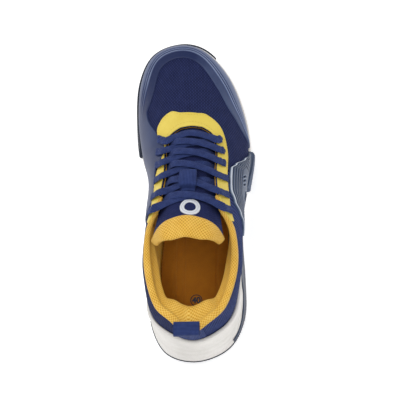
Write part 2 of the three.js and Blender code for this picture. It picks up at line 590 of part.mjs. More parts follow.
// The tongue's outer face at seven places up its length. Its middle and quarter points stand free; its edge
// and side follow the upper at a [station, share], under the lining and the lace.
const TONGUE = [
  { middle: [0, 60, 56.5], quarter: [10, 60, 55], edge: [9.1, 0.88], side: [8.5, 0.84] },
  { middle: [0, 45, 64.5], quarter: [12, 45, 62], edge: [8.05, 1], side: [8, 0.86] },
  { middle: [0, 28, 72.5], quarter: [12.5, 28, 69.8], edge: [7.05, 1], side: [7, 0.86] },
  { middle: [0, 4, 82.5], quarter: [13, 4, 79.2], edge: [6.05, 1], side: [6, 0.86] },
  { middle: [0, -15, 91.5], quarter: [13.5, -16, 87.8], edge: [5.42, 1], side: [5.4, 0.86] },
  { middle: [0, -28, 100], quarter: [14.5, -29, 96.3], edge: [4.97, 1], side: [4.9, 0.89] },
  { middle: [0, -40, 108], quarter: [15, -42.5, 103.5], edge: [24, -46, 96.5], side: [29.5, -50, 88] },
];
function tongueNode(spot, sign) {
  if (spot.length === 3) return scaled([sign * spot[0], spot[1], spot[2]]);
  const [u, v] = spot;
  const point = layerPoint(u, v, underLace(u, v));
  return point.setX(sign * Math.abs(point.x));
}
const tongueLines = [['side', -1], ['edge', -1], ['quarter', -1], ['middle', 1], ['quarter', 1], ['edge', 1],
  ['side', 1]].map(([name, sign]) => new THREE.CatmullRomCurve3(
  TONGUE.map((row) => tongueNode(row[name], sign)), false, 'catmullrom', 0.5));
function tongueFace(s, w) {
  const lines = tongueLines.map((line) => line.getPoint(clamp(s, 0, 1)));
  return new THREE.CatmullRomCurve3(lines, false, 'catmullrom', 0.5).getPoint((clamp(w, -1, 1) + 1) / 2);
}
function tonguePoint(s, w, depth, beyond = 0) {
  const [cs, cw] = [clamp(s, STEP, 1 - STEP), clamp(w, STEP - 1, 1 - STEP)];
  const along = tongueFace(cs + STEP, cw).sub(tongueFace(cs - STEP, cw)).normalize();
  const across = tongueFace(cs, cw + STEP).sub(tongueFace(cs, cw - STEP)).normalize();
  const out = V3().crossVectors(along, across).normalize();
  if (out.z < 0) out.negate();
  return tongueFace(s, w).addScaledVector(out, -depth).addScaledVector(along, beyond);
}
const TONGUE_ACROSS = [-1, -0.75, -0.5, -0.25, 0, 0.25, 0.5, 0.75, 1];
const TONGUE_UP = [0, 0.12, 0.24, 0.36, 0.48, 0.6, 0.7, 0.8, 0.9, 1];
// Foam thickness: none under the lacing, full in the free end, thinner towards the sides.
const tonguePad = (s, w) => lerp(1.2, TONGUE_PAD, smoothstep(s, TONGUE_HINGE - 0.1, TONGUE_HINGE + 0.14))
  * (1 - 0.45 * w * w);

// The flexing line crosses the tongue just above its face. Past it the free end is cut back far enough to
// lean backwards.
const hinge = tongueFace(TONGUE_HINGE, 0);
hinge.z += 1;
function tongueHalf(geometry, upperHalf) {
  const reach = 200;
  const block = new THREE.BoxGeometry(reach, reach, reach);
  if (upperHalf) {
    block.translate(0, reach / 2 - GAP, 0);
    block.rotateX(THREE.MathUtils.degToRad(-TONGUE_BACK_SWING - 1));
  } else {
    block.translate(0, -reach / 2, 0);
  }
  block.translate(0, hinge.y, hinge.z);
  return toGeometry(toSolid(geometry).subtract(toSolid(block)));
}
const skin = (low, high) => sweep(TONGUE_UP, (s) => ({
  a: TONGUE_ACROSS.map((w) => tonguePoint(s, w, low(s, w))),
  b: TONGUE_ACROSS.map((w) => tonguePoint(s, w, high(s, w))),
}));
const foamTop = () => TONGUE_SKIN + GAP;
const foamBottom = (s, w) => foamTop() + tonguePad(s, w);
const tongueSkin = skin(() => 0, () => TONGUE_SKIN);
const tongueFoam = skin(foamTop, foamBottom);
// The lining runs up the inner face, round the padded end and stops at the outer face.
const WRAP = 1;
const roll = (w) => lerp(TONGUE_EAR, TONGUE_ROLL, 1 - w * w);
const ROOM_SHARE = 0.04; // the lining's room over the foam, for each millimetre of foam
const foamRoom = ROOM_SHARE * TONGUE_PAD;
const tongueLining = sweep(TONGUE_ACROSS, (w) => {
  const inner = (s) => foamBottom(s, w) + foamRoom;
  return {
    a: [
      ...TONGUE_UP.map((s) => tonguePoint(s, w, inner(s) + WRAP)),
      tonguePoint(1, w, inner(1) + WRAP, GAP + 2 * WRAP),
      tonguePoint(1, w, inner(1) * 0.8, roll(w)),
      tonguePoint(1, w, inner(1) * 0.4, roll(w)),
      tonguePoint(1, w, 0, GAP + 2 * WRAP),
    ],
    b: [
      ...TONGUE_UP.slice(0, -1).map((s) => tonguePoint(s, w, inner(s))),
      tonguePoint(1, w, inner(1)),
      tonguePoint(1, w, inner(1), GAP),
      tonguePoint(1, w, inner(1) * 0.8, GAP),
      tonguePoint(1, w, inner(1) * 0.4, GAP),
      tonguePoint(1, w, 0, GAP),
    ],
  };
});
add('tongue_panel', tongueHalf(tongueSkin, false), NAVY, 0.95);
add('tongue_panel_foam', tongueHalf(tongueFoam, false), FOAM_GREY, 0.9);
add('tongue_panel_lining', tongueHalf(tongueLining, false), MUSTARD, 0.95);
add('tongue_head', tongueHalf(tongueSkin, true), NAVY, 0.95);
add('tongue_head_foam', tongueHalf(tongueFoam, true), FOAM_GREY, 0.9);
add('tongue_head_lining', tongueHalf(tongueLining, true), MUSTARD, 0.95);

const BADGE_S = [0.84, 0.885, 0.93];
const badgeReach = BADGE_WIDTH / 2 / (30 * KX);
add('tongue_badge', sweep(BADGE_S, (s) => {
  const places = [-1, -0.5, 0, 0.5, 1].map((k) => k * badgeReach);
  return {
    a: places.map((w) => tonguePoint(s, w, -GAP - BADGE_THICKNESS)),
    b: places.map((w) => tonguePoint(s, w, -GAP)),
  };
}), LABEL, 0.7);

// ---- lace ----------------------------------------------------------------------------------------------
// A flat band along a smooth line of [point, direction of its width] pairs.
function band(knots, width, sections, grow = 0) {
  const line = new THREE.CatmullRomCurve3(knots.map(([point]) => point), false, 'centripetal');
  const last = knots.length - 1;
  const places = [...Array(sections + 1).keys()].map((k) => k / sections);
  return sweep(places, (place) => {
    const t = line.getUtoTmapping(place);
    const k = Math.min(last - 1, Math.floor(t * last));
    const centre = line.getPoint(t);
    const along = line.getTangent(t);
    const side = knots[k][1].clone().lerp(knots[k + 1][1], t * last - k);
    side.addScaledVector(along, -side.dot(along)).normalize();
    const up = V3().crossVectors(along, side);
    const [w, h] = [width(place) / 2 + grow, LACE_THICKNESS / 2 + grow];
    const corner = (x, y) => centre.clone().addScaledVector(side, x).addScaledVector(up, y);
    return {
      a: [corner(-w, 0), corner(-w * 0.8, h), corner(w * 0.8, h)],
      b: [corner(-w * 0.8, -h), corner(w * 0.8, -h), corner(w, 0)],
    };
  });
}
const eyestayTop = OVERLAY_GAP + EYESTAY_THICKNESS;
const overEyestay = eyestayTop + GAP + laceHalf;
const NARROW = EYELET_DIAMETER * 0.72; // the lace bunches to pass an eyelet

const upTongue = tongueFace(0.6, 0).sub(tongueFace(0.3, 0)).normalize();
const downTongue = upTongue.clone().negate();
const reachOf = (point) => point.dot(upTongue); // how far up the tongue's slope a point lies
// A point over the tongue at a given x and reach, `above` its face.
function overTongue(x, reach, above) {
  const climb = (w) => {
    let [low, high] = [0, 1];
    for (let k = 0; k < 14; k++) {
      const middle = (low + high) / 2;
      if (reachOf(tongueFace(middle, w)) < reach) low = middle;
      else high = middle;
    }
    return low;
  };
  let [left, right] = [-1, 1];
  for (let k = 0; k < 14; k++) {
    const middle = (left + right) / 2;
    if (tongueFace(climb(middle), middle).x < x) left = middle;
    else right = middle;
  }
  return tonguePoint(climb(left), left, -above);
}
// A lace knot on or under the upper: its width lies along the row of eyelets.
function upperKnot(side, u, v, depth, lift = 0) {
  const at = sideStation(side, u);
  const alongRow = face(at + STEP, v).sub(face(at - STEP, v)).normalize().multiplyScalar(-side);
  return [layerPoint(at, v, depth, 0, lift), alongRow];
}
const tongueKnot = (x, reach, above) => [overTongue(x, reach, above), downTongue];
const eyelet = (side, i, depth) => upperKnot(side, EYELET_U[i], EYELET_V[i], depth);
// Lace over the eyestay, just short of eyelet i, coming from the throat, whose edge it clears by a lift. The
// last eyelets lie where the collar's turned edge begins, so the lace stands higher there.
const overCollar = (i) => EYELET_U[i] < COLLAR_TO - STATIONS + 0.1;
const THROAT_LIFT = 2;
const COLLAR_LIFT = 3;
const approach = (side, i) => [
  upperKnot(side, EYELET_U[i] + 0.03, 1, -overEyestay - 1.6, overCollar(i) ? COLLAR_LIFT : THROAT_LIFT),
  upperKnot(side, EYELET_U[i] + 0.02, 0.985, -overEyestay - 2.2),
  upperKnot(side, EYELET_U[i], EYELET_V[i] + 0.03, -overEyestay - 0.5),
];
function laceBar() {
  const ends = [approach(-1, 0), approach(1, 0)];
  const reach = reachOf(ends[0][0][0]);
  const middle = [[-14, 3, 5.6], [0, 5.5, 3.8], [14, 3, 5.6]].map(
    ([x, forward, above]) => tongueKnot(x * KX, reach - forward * KY, above));
  return band([...ends[0].reverse(), ...middle, ...ends[1]], () => LACE_WIDTH, 12);
}

// Each run starts through eyelet i, passes under the lining to the throat, rises beside the tongue, crosses
// to the other side and ends just short of eyelet i + 1 there. The run from the inner side crosses on top.
const CROSS_LOW = GAP + laceHalf + 0.8;
const CROSS_STEP = LACE_THICKNESS + 1.1;
const EDGE_RISE = 7.2; // above the tongue, just before the lace turns over the edge of the eyestay
function laceRun(side, i, grow = 0) {
  const u = EYELET_U[i];
  const under = (v) => underLining(u, v);
  const start = [
    eyelet(side, i, -overEyestay + laceHalf + GAP),
    eyelet(side, i, under(EYELET_V[i])),
    upperKnot(side, u - 0.05, 0.965, under(0.965)),
    upperKnot(side, u - 0.09, 1, under(1), 1),
  ];
  const rise = side < 0 ? CROSS_STEP : 0;
  const from = start[start.length - 1][0];
  const end = approach(-side, i + 1);
  const to = end[0][0];
  const at = (share, above) => tongueKnot(
    lerp(from.x, to.x, share), lerp(reachOf(from), reachOf(to), share), above);
  const knots = [
    ...start,
    at(0.1, CROSS_LOW + rise * 0.3), at(0.2, CROSS_LOW + rise * 0.8), at(0.5, CROSS_LOW + rise),
    at(0.72, CROSS_LOW + rise), at(0.79, EDGE_RISE - 2.4), at(0.9, EDGE_RISE),
    ...end,
  ];
  const width = (t) => lerp(NARROW, LACE_WIDTH, smoothstep(t, 0.08, 0.2));
  return band(knots, width, 20, grow);
}

// Room that the lace keeps from the layers of the upper along the throat, eyelet holes left open.
const THROAT_ROOM = { from: 4.5, to: 17.5, climb: [0.8, 0.87, 0.94, 1] };
const roomStations = stationsBetween(THROAT_ROOM.from, THROAT_ROOM.to, OVERLAY_GRID);
const throatRoom = toSolid(withEyelets(sweep(roomStations, (u) => {
  const turned = Math.abs(u - STATIONS / 2) > STATIONS / 2 - (COLLAR_TO - STATIONS) - 0.1;
  const lip = GAP + (turned ? TURN_GAP + TURN_OVER : 0);
  const lay = (depth) => [
    ...THROAT_ROOM.climb.map((v) => layerPoint(u, v, depth(v))), layerPoint(u, 1, depth(1), 0, lip)];
  return { a: lay(() => -eyestayTop - GAP), b: lay((v) => liningDepth(u, v) + GAP) };
})));
// A lace piece trimmed clear of the throat and of the pieces that press on it.
function pressed(geometry, others = []) {
  const trimmed = toSolid(geometry).subtract(throatRoom);
  const solid = others.reduce((rest, other) => rest.subtract(toSolid(other)), trimmed);
  const bodies = solid.decompose().sort((a, b) => b.volume() - a.volume());
  return toGeometry(bodies[0]);
}
const LAST_RUN = EYELET_U.length - 2;
add('lace_bar', pressed(laceBar(), [laceRun(-1, 0, GAP)]), LACE_BLUE, 0.9);
for (let i = 0; i <= LAST_RUN; i++) {
  const above = [laceRun(-1, i, GAP), ...(i < LAST_RUN ? [laceRun(-1, i + 1, GAP)] : [])];
  add(`lace_run_medial_${i + 1}`, pressed(laceRun(-1, i)), LACE_BLUE, 0.9);
  add(`lace_run_lateral_${i + 1}`, pressed(laceRun(1, i), above), LACE_BLUE, 0.9);
}

// The keeper is a strip of webbing, stitched to the tongue at both ends, that the lace passes under.
const KEEPER = { front: 5.8 * KY, back: -10 * KY }; // outer faces of its legs, along the tongue
const keeperTop = CROSS_LOW + CROSS_STEP + laceHalf + 0.5;
add('lace_keeper', (() => {
  const arch = (grow, round) => {
    const [front, back, top] = [KEEPER.front - grow, KEEPER.back + grow, keeperTop - grow];
    return [[front, GAP], [front, top - round], [front - round, top], [back + round, top],
      [back, top - round], [back, GAP]];
  };
  const reachAt = (y) => {
    let [low, high] = [0, 1];
    for (let k = 0; k < 16; k++) {
      const middle = (low + high) / 2;
      if (tongueFace(middle, 0).y > y) low = middle;
      else high = middle;
    }
    return reachOf(tongueFace(low, 0));
  };
  const places = [-1, -0.33, 0.33, 1].map((k) => k * KEEPER_WIDTH / 2);
  const lay = (x, points) => points.map(([y, above]) => overTongue(x, reachAt(y), above));
  return sweep(places, (x) => ({
    a: lay(x, arch(-KEEPER_THICKNESS, 1.4)),
    b: lay(x, arch(0, 0.7)),
  }));
})(), WEBBING, 0.9);

// The two free ends go down through the last eyelets and lie forward on the sockliner.
function socklinerTop(x, y) {
  let [low, high] = [0, STATIONS / 2];
  for (let k = 0; k < 20; k++) {
    const middle = (low + high) / 2;
    if (face(middle, 0).y < y) low = middle;
    else high = middle;
  }
  return V3(x, y, face(low, 0).z + socklinerHigh + GAP + SOCKLINER_CLOTH + GAP + laceHalf + 0.4);
}
// Shares down the upper, and how far in from the lining.
const TAIL_DROP = [[0.8, 0.6], [0.66, 1.4], [0.5, 4]];
const TAIL_LEAN = 0.11; // stations forward for each of those steps, clear of the tongue's free end
const TAIL_HANG = [[-24, -12, 42], [-20, 0, 29]]; // hanging stretch, on the inner side
const TAIL_REST = [[-18, 12], [-17, 26], [-19, 42], [-22, 58]]; // lying stretch
const TAIL_TIP = [-24, 78];
function tailKnots(side) {
  const last = EYELET_U.length - 1;
  const u = EYELET_U[last];
  const flip = (x) => -side * x;
  const lying = V3(1, 0, 0);
  return [
    eyelet(side, last, -overEyestay + laceHalf + GAP),
    eyelet(side, last, underLining(u, EYELET_V[last])),
    ...TAIL_DROP.map(([v, away], k) => (
      upperKnot(side, u + TAIL_LEAN * (k + 1), v, underLining(u, v) + away))),
    ...TAIL_HANG.map(([x, y, z]) => [scaled([flip(x), y, z]), lying]),
    ...TAIL_REST.map(([x, y]) => [socklinerTop(flip(x) * KX, y * KY), lying]),
  ];
}
[['medial', -1], ['lateral', 1]].forEach(([name, side]) => {
  const knots = tailKnots(side);
  const tip = (t) => 1 - 0.6 * smoothstep(t, 0.93, 1); // narrowed into its metal end
  const width = (t) => lerp(NARROW, LACE_WIDTH, smoothstep(t, 0.06, 0.16)) * tip(t);
  add(`lace_tail_${name}`, band(knots, width, 20), LACE_BLUE, 0.9);
  const end = knots[knots.length - 1][0];
  const way = socklinerTop(-side * TAIL_TIP[0] * KX, TAIL_TIP[1] * KY).sub(end).normalize();
  const radius = AGLET_DIAMETER / 2;
  const aglet = new THREE.CylinderGeometry(radius, radius, AGLET_LENGTH, 10);
  aglet.applyQuaternion(new THREE.Quaternion().setFromUnitVectors(V3(0, 1, 0), way));
  const middle = end.clone().addScaledVector(way, GAP + AGLET_LENGTH / 2);
  middle.z += radius - laceHalf;
  aglet.translate(middle.x, middle.y, middle.z);
  add(`aglet_${name}`, aglet, NAVY, 0.3);
});

// ---- heel loop -----------------------------------------------------------------------------------------
// The anchor is stitched down the back of the heel; the loop folds forward from its top, over the collar.
const ANCHOR_CLIMB = [0.36, ...CLIMB.filter((v) => v > 0.4)];
const ANCHOR_LIFT = 1;
const LOOP_CLEARANCE = 2; // between the loop and the collar's highest point
const anchorReach = (LOOP_WIDTH / 2 - 1) / (19 * KX); // in stations
add('heel_loop_anchor', sweep([-1, -0.5, 0, 0.5, 1], (k) => {
  const u = k * anchorReach;
  const lay = (depth) => [
    ...ANCHOR_CLIMB.map((v) => layerPoint(u, v, -depth)),
    layerPoint(u, 1, -depth, 0, ANCHOR_LIFT),
  ];
  return { a: lay(OVERLAY_GAP + LOOP_THICKNESS), b: lay(OVERLAY_GAP) };
}), WEBBING, 0.9);

const heelTop = frameAt(0, 1);
const loopPivot = layerPoint(0, 1, -OVERLAY_GAP - LOOP_THICKNESS / 2, 0, ANCHOR_LIFT);
loopPivot.z = heelTop.point.z + TURN_GAP + TURN_OVER + GAP + LOOP_CLEARANCE;
add('heel_pull_loop', (() => {
  const rise = LOOP_OPENING + LOOP_THICKNESS; // between the middles of the two layers
  const bend = rise / 2;
  const flatRun = LOOP_REACH - bend - LOOP_THICKNESS / 2;
  const turn = (from, count) => [...Array(count).keys()].map((k) => from + Math.PI * (k / (count - 1)));
  const path = [
    ...turn(-Math.PI / 2, 9).map((angle) => [flatRun, bend, angle]), // round the front fold
    ...turn(Math.PI / 2, 7).map((angle) => [0, bend, angle]), // and down the back, flattened
  ];
  const flatten = (y) => (y < 0 ? y * 0.3 : y);
  const at = (x, [y, z, angle], grow) => V3(x,
    loopPivot.y + flatten(y + Math.cos(angle) * (bend + grow)),
    loopPivot.z + LOOP_THICKNESS / 2 + z + Math.sin(angle) * (bend + grow));
  const across = [-0.5, 0.5].map((k) => k * LOOP_WIDTH);
  return sweep(path, (spot) => ({
    a: across.map((x) => at(x, spot, LOOP_THICKNESS / 2)),
    b: across.map((x) => at(x, spot, -LOOP_THICKNESS / 2)),
  }), true);
})(), WEBBING, 0.9);

// The origin is the middle of the whole footprint, on the ground.
const { min, max } = new THREE.Box3().setFromObject(shoe);
shoe.position.set(-(min.x + max.x) / 2, -(min.y + max.y) / 2, 0);

export default shoe;
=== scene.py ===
# %% [markdown]
# A court shoe in Blender. The shoe's frame, its joints and its sizes come from a CAD model that is already
# packed. This script dresses that frame: every layer of the shoe is a surface worked out with numpy from
# one master shape, so the layers follow each other as they do on a real last.
# %% Load the frame
import bpy
import numpy as np
from mathutils import Matrix, Vector

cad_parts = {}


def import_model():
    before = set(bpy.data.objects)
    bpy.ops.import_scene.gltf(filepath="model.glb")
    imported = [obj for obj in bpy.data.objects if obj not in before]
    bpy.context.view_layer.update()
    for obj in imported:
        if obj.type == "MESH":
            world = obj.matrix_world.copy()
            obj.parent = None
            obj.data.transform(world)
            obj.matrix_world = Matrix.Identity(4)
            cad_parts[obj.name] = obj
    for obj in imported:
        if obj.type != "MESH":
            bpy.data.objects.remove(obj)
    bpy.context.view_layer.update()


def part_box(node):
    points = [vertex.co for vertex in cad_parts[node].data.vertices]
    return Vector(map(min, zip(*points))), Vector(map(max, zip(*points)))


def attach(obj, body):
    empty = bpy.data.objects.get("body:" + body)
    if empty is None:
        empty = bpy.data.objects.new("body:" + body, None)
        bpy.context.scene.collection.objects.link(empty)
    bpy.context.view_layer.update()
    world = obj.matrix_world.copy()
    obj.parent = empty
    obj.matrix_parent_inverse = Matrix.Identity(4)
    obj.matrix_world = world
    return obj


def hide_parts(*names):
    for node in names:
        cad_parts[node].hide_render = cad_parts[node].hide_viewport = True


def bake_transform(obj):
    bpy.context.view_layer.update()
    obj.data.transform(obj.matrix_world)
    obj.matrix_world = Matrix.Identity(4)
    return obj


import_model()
MM = 0.001

# %% [markdown]
# The camera comes first. It stands 1.2 m away, 15.6 degrees behind straight overhead and 5.5 degrees
# towards the outer side, with the toe at the top of the picture. A long lens keeps the shoe's proportions
# honest.
# %% Camera
DESIGN_LENGTH = 288.0  # the midsole, heel to toe, in the numbers below
sole_low, sole_high = (np.array(corner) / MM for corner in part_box("midsole"))
SCALE = (sole_high[1] - sole_low[1]) / DESIGN_LENGTH
SOLE_MIDDLE = np.array([-1.8056, 0.0, 0.0])  # middle of the midsole's box in the numbers below
ORIGIN = (sole_low + sole_high) / 2 * [1, 1, 0] - SOLE_MIDDLE * SCALE


def world(points):
    """From the design's millimetres to the frame's metres."""
    return (np.asarray(points, float) * SCALE + ORIGIN) * MM


VIEW_BACK, VIEW_SIDE = np.radians(15.6), np.radians(5.5)
VIEW_DISTANCE = 1.2
towards = np.array([np.sin(VIEW_SIDE), -np.sin(VIEW_BACK), 0.0])
towards[2] = np.sqrt(1 - towards @ towards)
aim = Vector(world([0, 0, 30]))
camera = bpy.data.objects.new("camera", bpy.data.cameras.new("camera"))
bpy.context.scene.collection.objects.link(camera)
camera.location = aim + Vector(towards) * VIEW_DISTANCE
right = Vector(-towards).cross(Vector((0, 1, 0))).normalized()
upward = right.cross(Vector(-towards))
camera.rotation_euler = Matrix((right, upward, Vector(towards))).transposed().to_euler()
camera.data.lens = 122.3
camera.data.shift_x, camera.data.shift_y = 0.0126, -0.0112
bpy.context.scene.camera = camera
bpy.context.scene.view_settings.view_transform = "Standard"

# %% [markdown]
# One curve formula serves the whole shoe: the Catmull-Rom spline, which runs through every point it is
# given.
# %% Splines
def spline(knots, t, closed=False):
    """Uniform Catmull-Rom curve through knots at t from 0 to 1: on each span, the cubic whose slope at a knot
    is half the step from the knot before to the knot after. Knots may differ for each value of t."""
    knots, t = np.asarray(knots, float), np.asarray(t, float)
    count = len(knots)
    place = (t % 1.0) * count if closed else np.clip(t, 0, 1) * (count - 1)
    i = np.floor(place).astype(int)
    if not closed:
        i = np.minimum(i, count - 2)
        knots = np.concatenate([2 * knots[:1] - knots[1:2], knots, 2 * knots[-1:] - knots[-2:-1]])
        picks = [i, i + 1, i + 2, i + 3]
    else:
        picks = [(i - 1) % count, i % count, (i + 1) % count, (i + 2) % count]
    w = (place - i)[..., None]
    if knots.ndim == 2:
        a, b, c, d = (knots[p] for p in picks)
    else:
        a, b, c, d = (np.take_along_axis(knots, p[None, ..., None], 0)[0] for p in picks)
    return b + 0.5 * w * (c - a + w * (2 * a - 5 * b + 4 * c - d + w * (3 * (b - c) + d - a)))


def eased(table, x):
    """A value read off [place, value] pairs, eased between neighbours with 3w^2 - 2w^3."""
    xs, ys = np.array(table, float).T
    x = np.clip(x, xs[0], xs[-1])
    i = np.clip(np.searchsorted(xs, x, side="right") - 1, 0, len(xs) - 2)
    w = (x - xs[i]) / (xs[i + 1] - xs[i])
    return ys[i] + (ys[i + 1] - ys[i]) * w * w * (3 - 2 * w)


def smooth(x, low, high):
    """0 below low, 1 above high, and 3w^2 - 2w^3 between."""
    w = np.clip((x - low) / (high - low), 0, 1)
    return w * w * (3 - 2 * w)


def unit(vectors):
    return vectors / np.maximum(np.linalg.norm(vectors, axis=-1, keepdims=True), 1e-9)

# %% [markdown]
# A shoe is shaped on a last, so the upper is one surface with two parameters. Station u runs round the
# foot, 0 at the back of the heel, 11 at the tip of the toe and 22 at the heel again. Share v climbs from
# the feather edge, where the upper meets the sole, to the edge of the opening. These are the CAD model's
# own numbers.
# %% The master surface
UPPER = np.array([
    [[0.5, -127, 27.5], [0.5, -131.5, 45], [0.5, -130, 62], [0.5, -127.5, 78], [0, -134.5, 91]],
    [[-19, -120, 27], [-22.5, -122.5, 45], [-21, -121, 61], [-17.5, -118.5, 75], [-14.5, -122.5, 86]],
    [[-31, -103, 27], [-36.5, -105.5, 44], [-36, -105, 58], [-32.5, -105, 70], [-29.5, -106.5, 77.5]],
    [[-32, -72, 26.5], [-39, -73, 40], [-41.5, -73, 52], [-41.5, -73, 62], [-38.5, -74, 70.5]],
    [[-30, -37, 24.5], [-36, -38, 38], [-38.5, -40, 52], [-39.5, -42, 65], [-37, -44, 76]],
    [[-27, -18, 22], [-33.5, -20, 34], [-38.5, -21, 50], [-35.5, -23, 72], [-26.5, -25, 88]],
    [[-27.5, 12, 18.5], [-35, 10, 28], [-38.5, 8, 40], [-34, 5, 60], [-22.5, 4, 76]],
    [[-37, 43, 16.5], [-44.5, 40, 25], [-44.5, 37, 36], [-36, 33, 52], [-22.5, 28, 66.5]],
    [[-43.5, 76, 16.2], [-49.5, 75, 25], [-47.5, 71, 36], [-36, 61, 51], [-19, 44, 63]],
    [[-43, 107, 18.5], [-47.5, 108, 28], [-43, 103, 39], [-27, 82, 53], [-11, 51, 63.5]],
    [[-32.5, 128, 21.5], [-36, 131.5, 31], [-31.5, 123.5, 41.5], [-18, 91, 53], [-5.5, 52.5, 63.8]],
    [[-12.5, 135, 23.5], [-13, 140, 32], [-12, 131, 42.5], [-7, 97, 52.5], [0.3, 53, 64]],
    [[7.5, 129, 22], [9.5, 133, 31], [7.5, 125, 41.5], [4, 91, 53], [6, 52.5, 63.8]],
    [[26.5, 107, 18.5], [30, 108.5, 28], [26.5, 102, 39.5], [17, 80, 53], [11.5, 51, 63.5]],
    [[37.5, 75, 16.2], [42.5, 74, 25], [40.5, 70, 36], [31, 60, 51], [19.5, 44, 63]],
    [[41, 42, 16.5], [47, 40, 24], [46.5, 36, 35], [37, 32, 52], [23, 28, 66.5]],
    [[35, 12, 18.5], [43, 10, 27], [44.5, 8, 40], [37, 5, 60], [23, 4, 76]],
    [[32, -18, 22], [39, -20, 33], [43.5, -21, 48], [39, -23, 70], [27.5, -25, 88]],
    [[32.5, -37, 24.5], [39, -38, 36], [43, -40, 50], [41.5, -42, 64], [37.5, -44, 75]],
    [[32, -72, 26.5], [39, -73, 38], [42, -73, 50], [42.5, -73, 60], [39, -74, 68.5]],
    [[30.5, -103, 27], [35, -105, 44], [35.5, -105, 57], [33, -106, 69], [30.5, -107.5, 76]],
    [[19, -120.5, 27], [22, -123, 45], [20.5, -121, 61], [17.5, -119.5, 75], [16, -124.5, 85.5]],
], float)
SOLE = np.array([
    [0, -144], [-27, -136], [-40.5, -110], [-41.5, -75], [-37, -40], [-35, -15], [-39, 9], [-49.5, 40],
    [-52.5, 76], [-50.5, 107], [-37.5, 134], [-12.5, 144], [11.5, 136], [33, 107.5], [45.2, 76], [49, 42],
    [44.5, 9], [40.5, -15], [40, -40], [42, -75], [41, -107], [27.5, -132.5]], float)
RIM = np.array([0.31, 0.3, 0.25, 0.14, 0.12, 0.13, 0.18, 0.2, 0.2, 0.18, 0.19, 0.19, 0.19, 0.18, 0.2, 0.2,
                0.18, 0.15, 0.14, 0.18, 0.23, 0.3])
STATIONS = len(UPPER)
STEP = 0.02


def face(u, v):
    """Two splines in turn: round the foot at each of the five levels, then up through the five points."""
    u, v = np.broadcast_arrays(np.asarray(u, float), np.asarray(v, float))
    rings = np.stack([spline(UPPER[:, k], u / STATIONS, closed=True) for k in range(UPPER.shape[1])])
    return spline(rings, v)


def directions(u, v):
    """Unit vectors up the face, out of the shoe and in towards the foot, from small steps in u and v."""
    u, v = np.broadcast_arrays(np.asarray(u, float), np.clip(v, 0, 1))
    around = face(u + STEP, v) - face(u - STEP, v)
    up = unit(face(u, np.minimum(1, v + STEP)) - face(u, np.maximum(0, v - STEP)))
    out = -unit(np.cross(around, up))
    point = face(u, v)
    middle = np.stack([0 * point[..., 0], np.maximum(point[..., 1], -70), point[..., 2]], -1)
    inward = unit(1.5 * unit(middle - point) - out)
    return point, up, out, inward


def layer(u, v, depth=0.0, pad=0.0, lift=0.0):
    """A point `depth` in from the face, then `pad` towards the foot, and `lift` past the edge."""
    point, up, out, inward = directions(u, v)
    depth, pad, lift = (np.asarray(x, float)[..., None] for x in (depth, pad, lift))
    return point - out * depth + inward * pad + up * lift


def rim_share(u):
    return spline(RIM[:, None], np.asarray(u, float) / STATIONS, closed=True)[..., 0]


print("face at the toe", face(11.0, 0.5))

# %% [markdown]
# Every surface below becomes a mesh in the same way: a grid of points, quads between neighbours, and a UV
# map in millimetres along the surface, so that a knit or a weave keeps its true size wherever the surface
# goes.
# %% From grids to meshes
def lengths(grid, axis):
    """Running length along one axis of a grid, averaged over the other."""
    steps = np.linalg.norm(np.diff(grid, axis=axis), axis=-1).mean(axis=1 - axis)
    return np.concatenate([[0], np.cumsum(steps)])


def quads(rows, columns, start=0, wrap=False):
    """Corner numbers of the quads of a grid, wound so that rows x columns faces out."""
    numbers = start + np.arange(rows * columns).reshape(rows, columns)
    if wrap:
        numbers = np.concatenate([numbers, numbers[:1]])
    corners = [numbers[:-1, :-1], numbers[1:, :-1], numbers[1:, 1:], numbers[:-1, 1:]]
    return np.stack(corners, -1).reshape(-1, 4)


def mesh_piece(name, points, faces, uvs, material):
    """A mesh from points (design mm), faces (corner numbers) and one UV for each point, with outward faces."""
    mesh = bpy.data.meshes.new(name)
    mesh.from_pydata(world(points).tolist(), [], [tuple(int(i) for i in f) for f in faces])
    layer_uv = mesh.uv_layers.new(name="mm")
    corners = np.zeros(len(mesh.loops), int)
    mesh.loops.foreach_get("vertex_index", corners)
    layer_uv.data.foreach_set("uv", np.asarray(uvs, float)[corners].ravel())
    mesh.polygons.foreach_set("use_smooth", [True] * len(mesh.polygons))
    mesh.materials.append(material)
    mesh.validate()
    piece = bpy.data.objects.new(name, mesh)
    bpy.context.scene.collection.objects.link(piece)
    return piece


def volume(points, faces):
    """Signed volume inside quads: positive when the faces point out."""
    a, b, c, d = (points[faces[:, k]] for k in range(4))
    return (np.einsum("ij,ij->i", a, np.cross(b, c)) + np.einsum("ij,ij->i", a, np.cross(c, d))).sum()


def shell(name, outer, inner, material, wrap=False, uv=None):
    """A closed shell between two grids: outer faces, inner faces turned round, and strips along open edges."""
    rows, columns = outer.shape[:2]
    points = np.concatenate([outer.reshape(-1, 3), inner.reshape(-1, 3)])
    start = rows * columns
    numbers = np.arange(start).reshape(rows, columns)
    faces = [quads(rows, columns, 0, wrap), quads(rows, columns, start, wrap)[:, ::-1]]
    around = np.concatenate([numbers, numbers[:1]]) if wrap else numbers
    edges = [around[::-1, 0], around[:, -1]]
    if not wrap:
        edges += [numbers[0, :], numbers[-1, ::-1]]
    for edge in edges:
        a, b = edge[:-1], edge[1:]
        faces.append(np.stack([a, b, b + start, a + start], -1))
    faces = np.concatenate(faces)
    if volume(points, faces) < 0:
        faces = faces[:, ::-1]
    if uv is None:
        uv = np.stack(np.meshgrid(lengths(outer, 0), lengths(outer, 1), indexing="ij"), -1)
    uv = uv.reshape(-1, 2)
    return mesh_piece(name, points, faces, np.concatenate([uv, uv]), material)

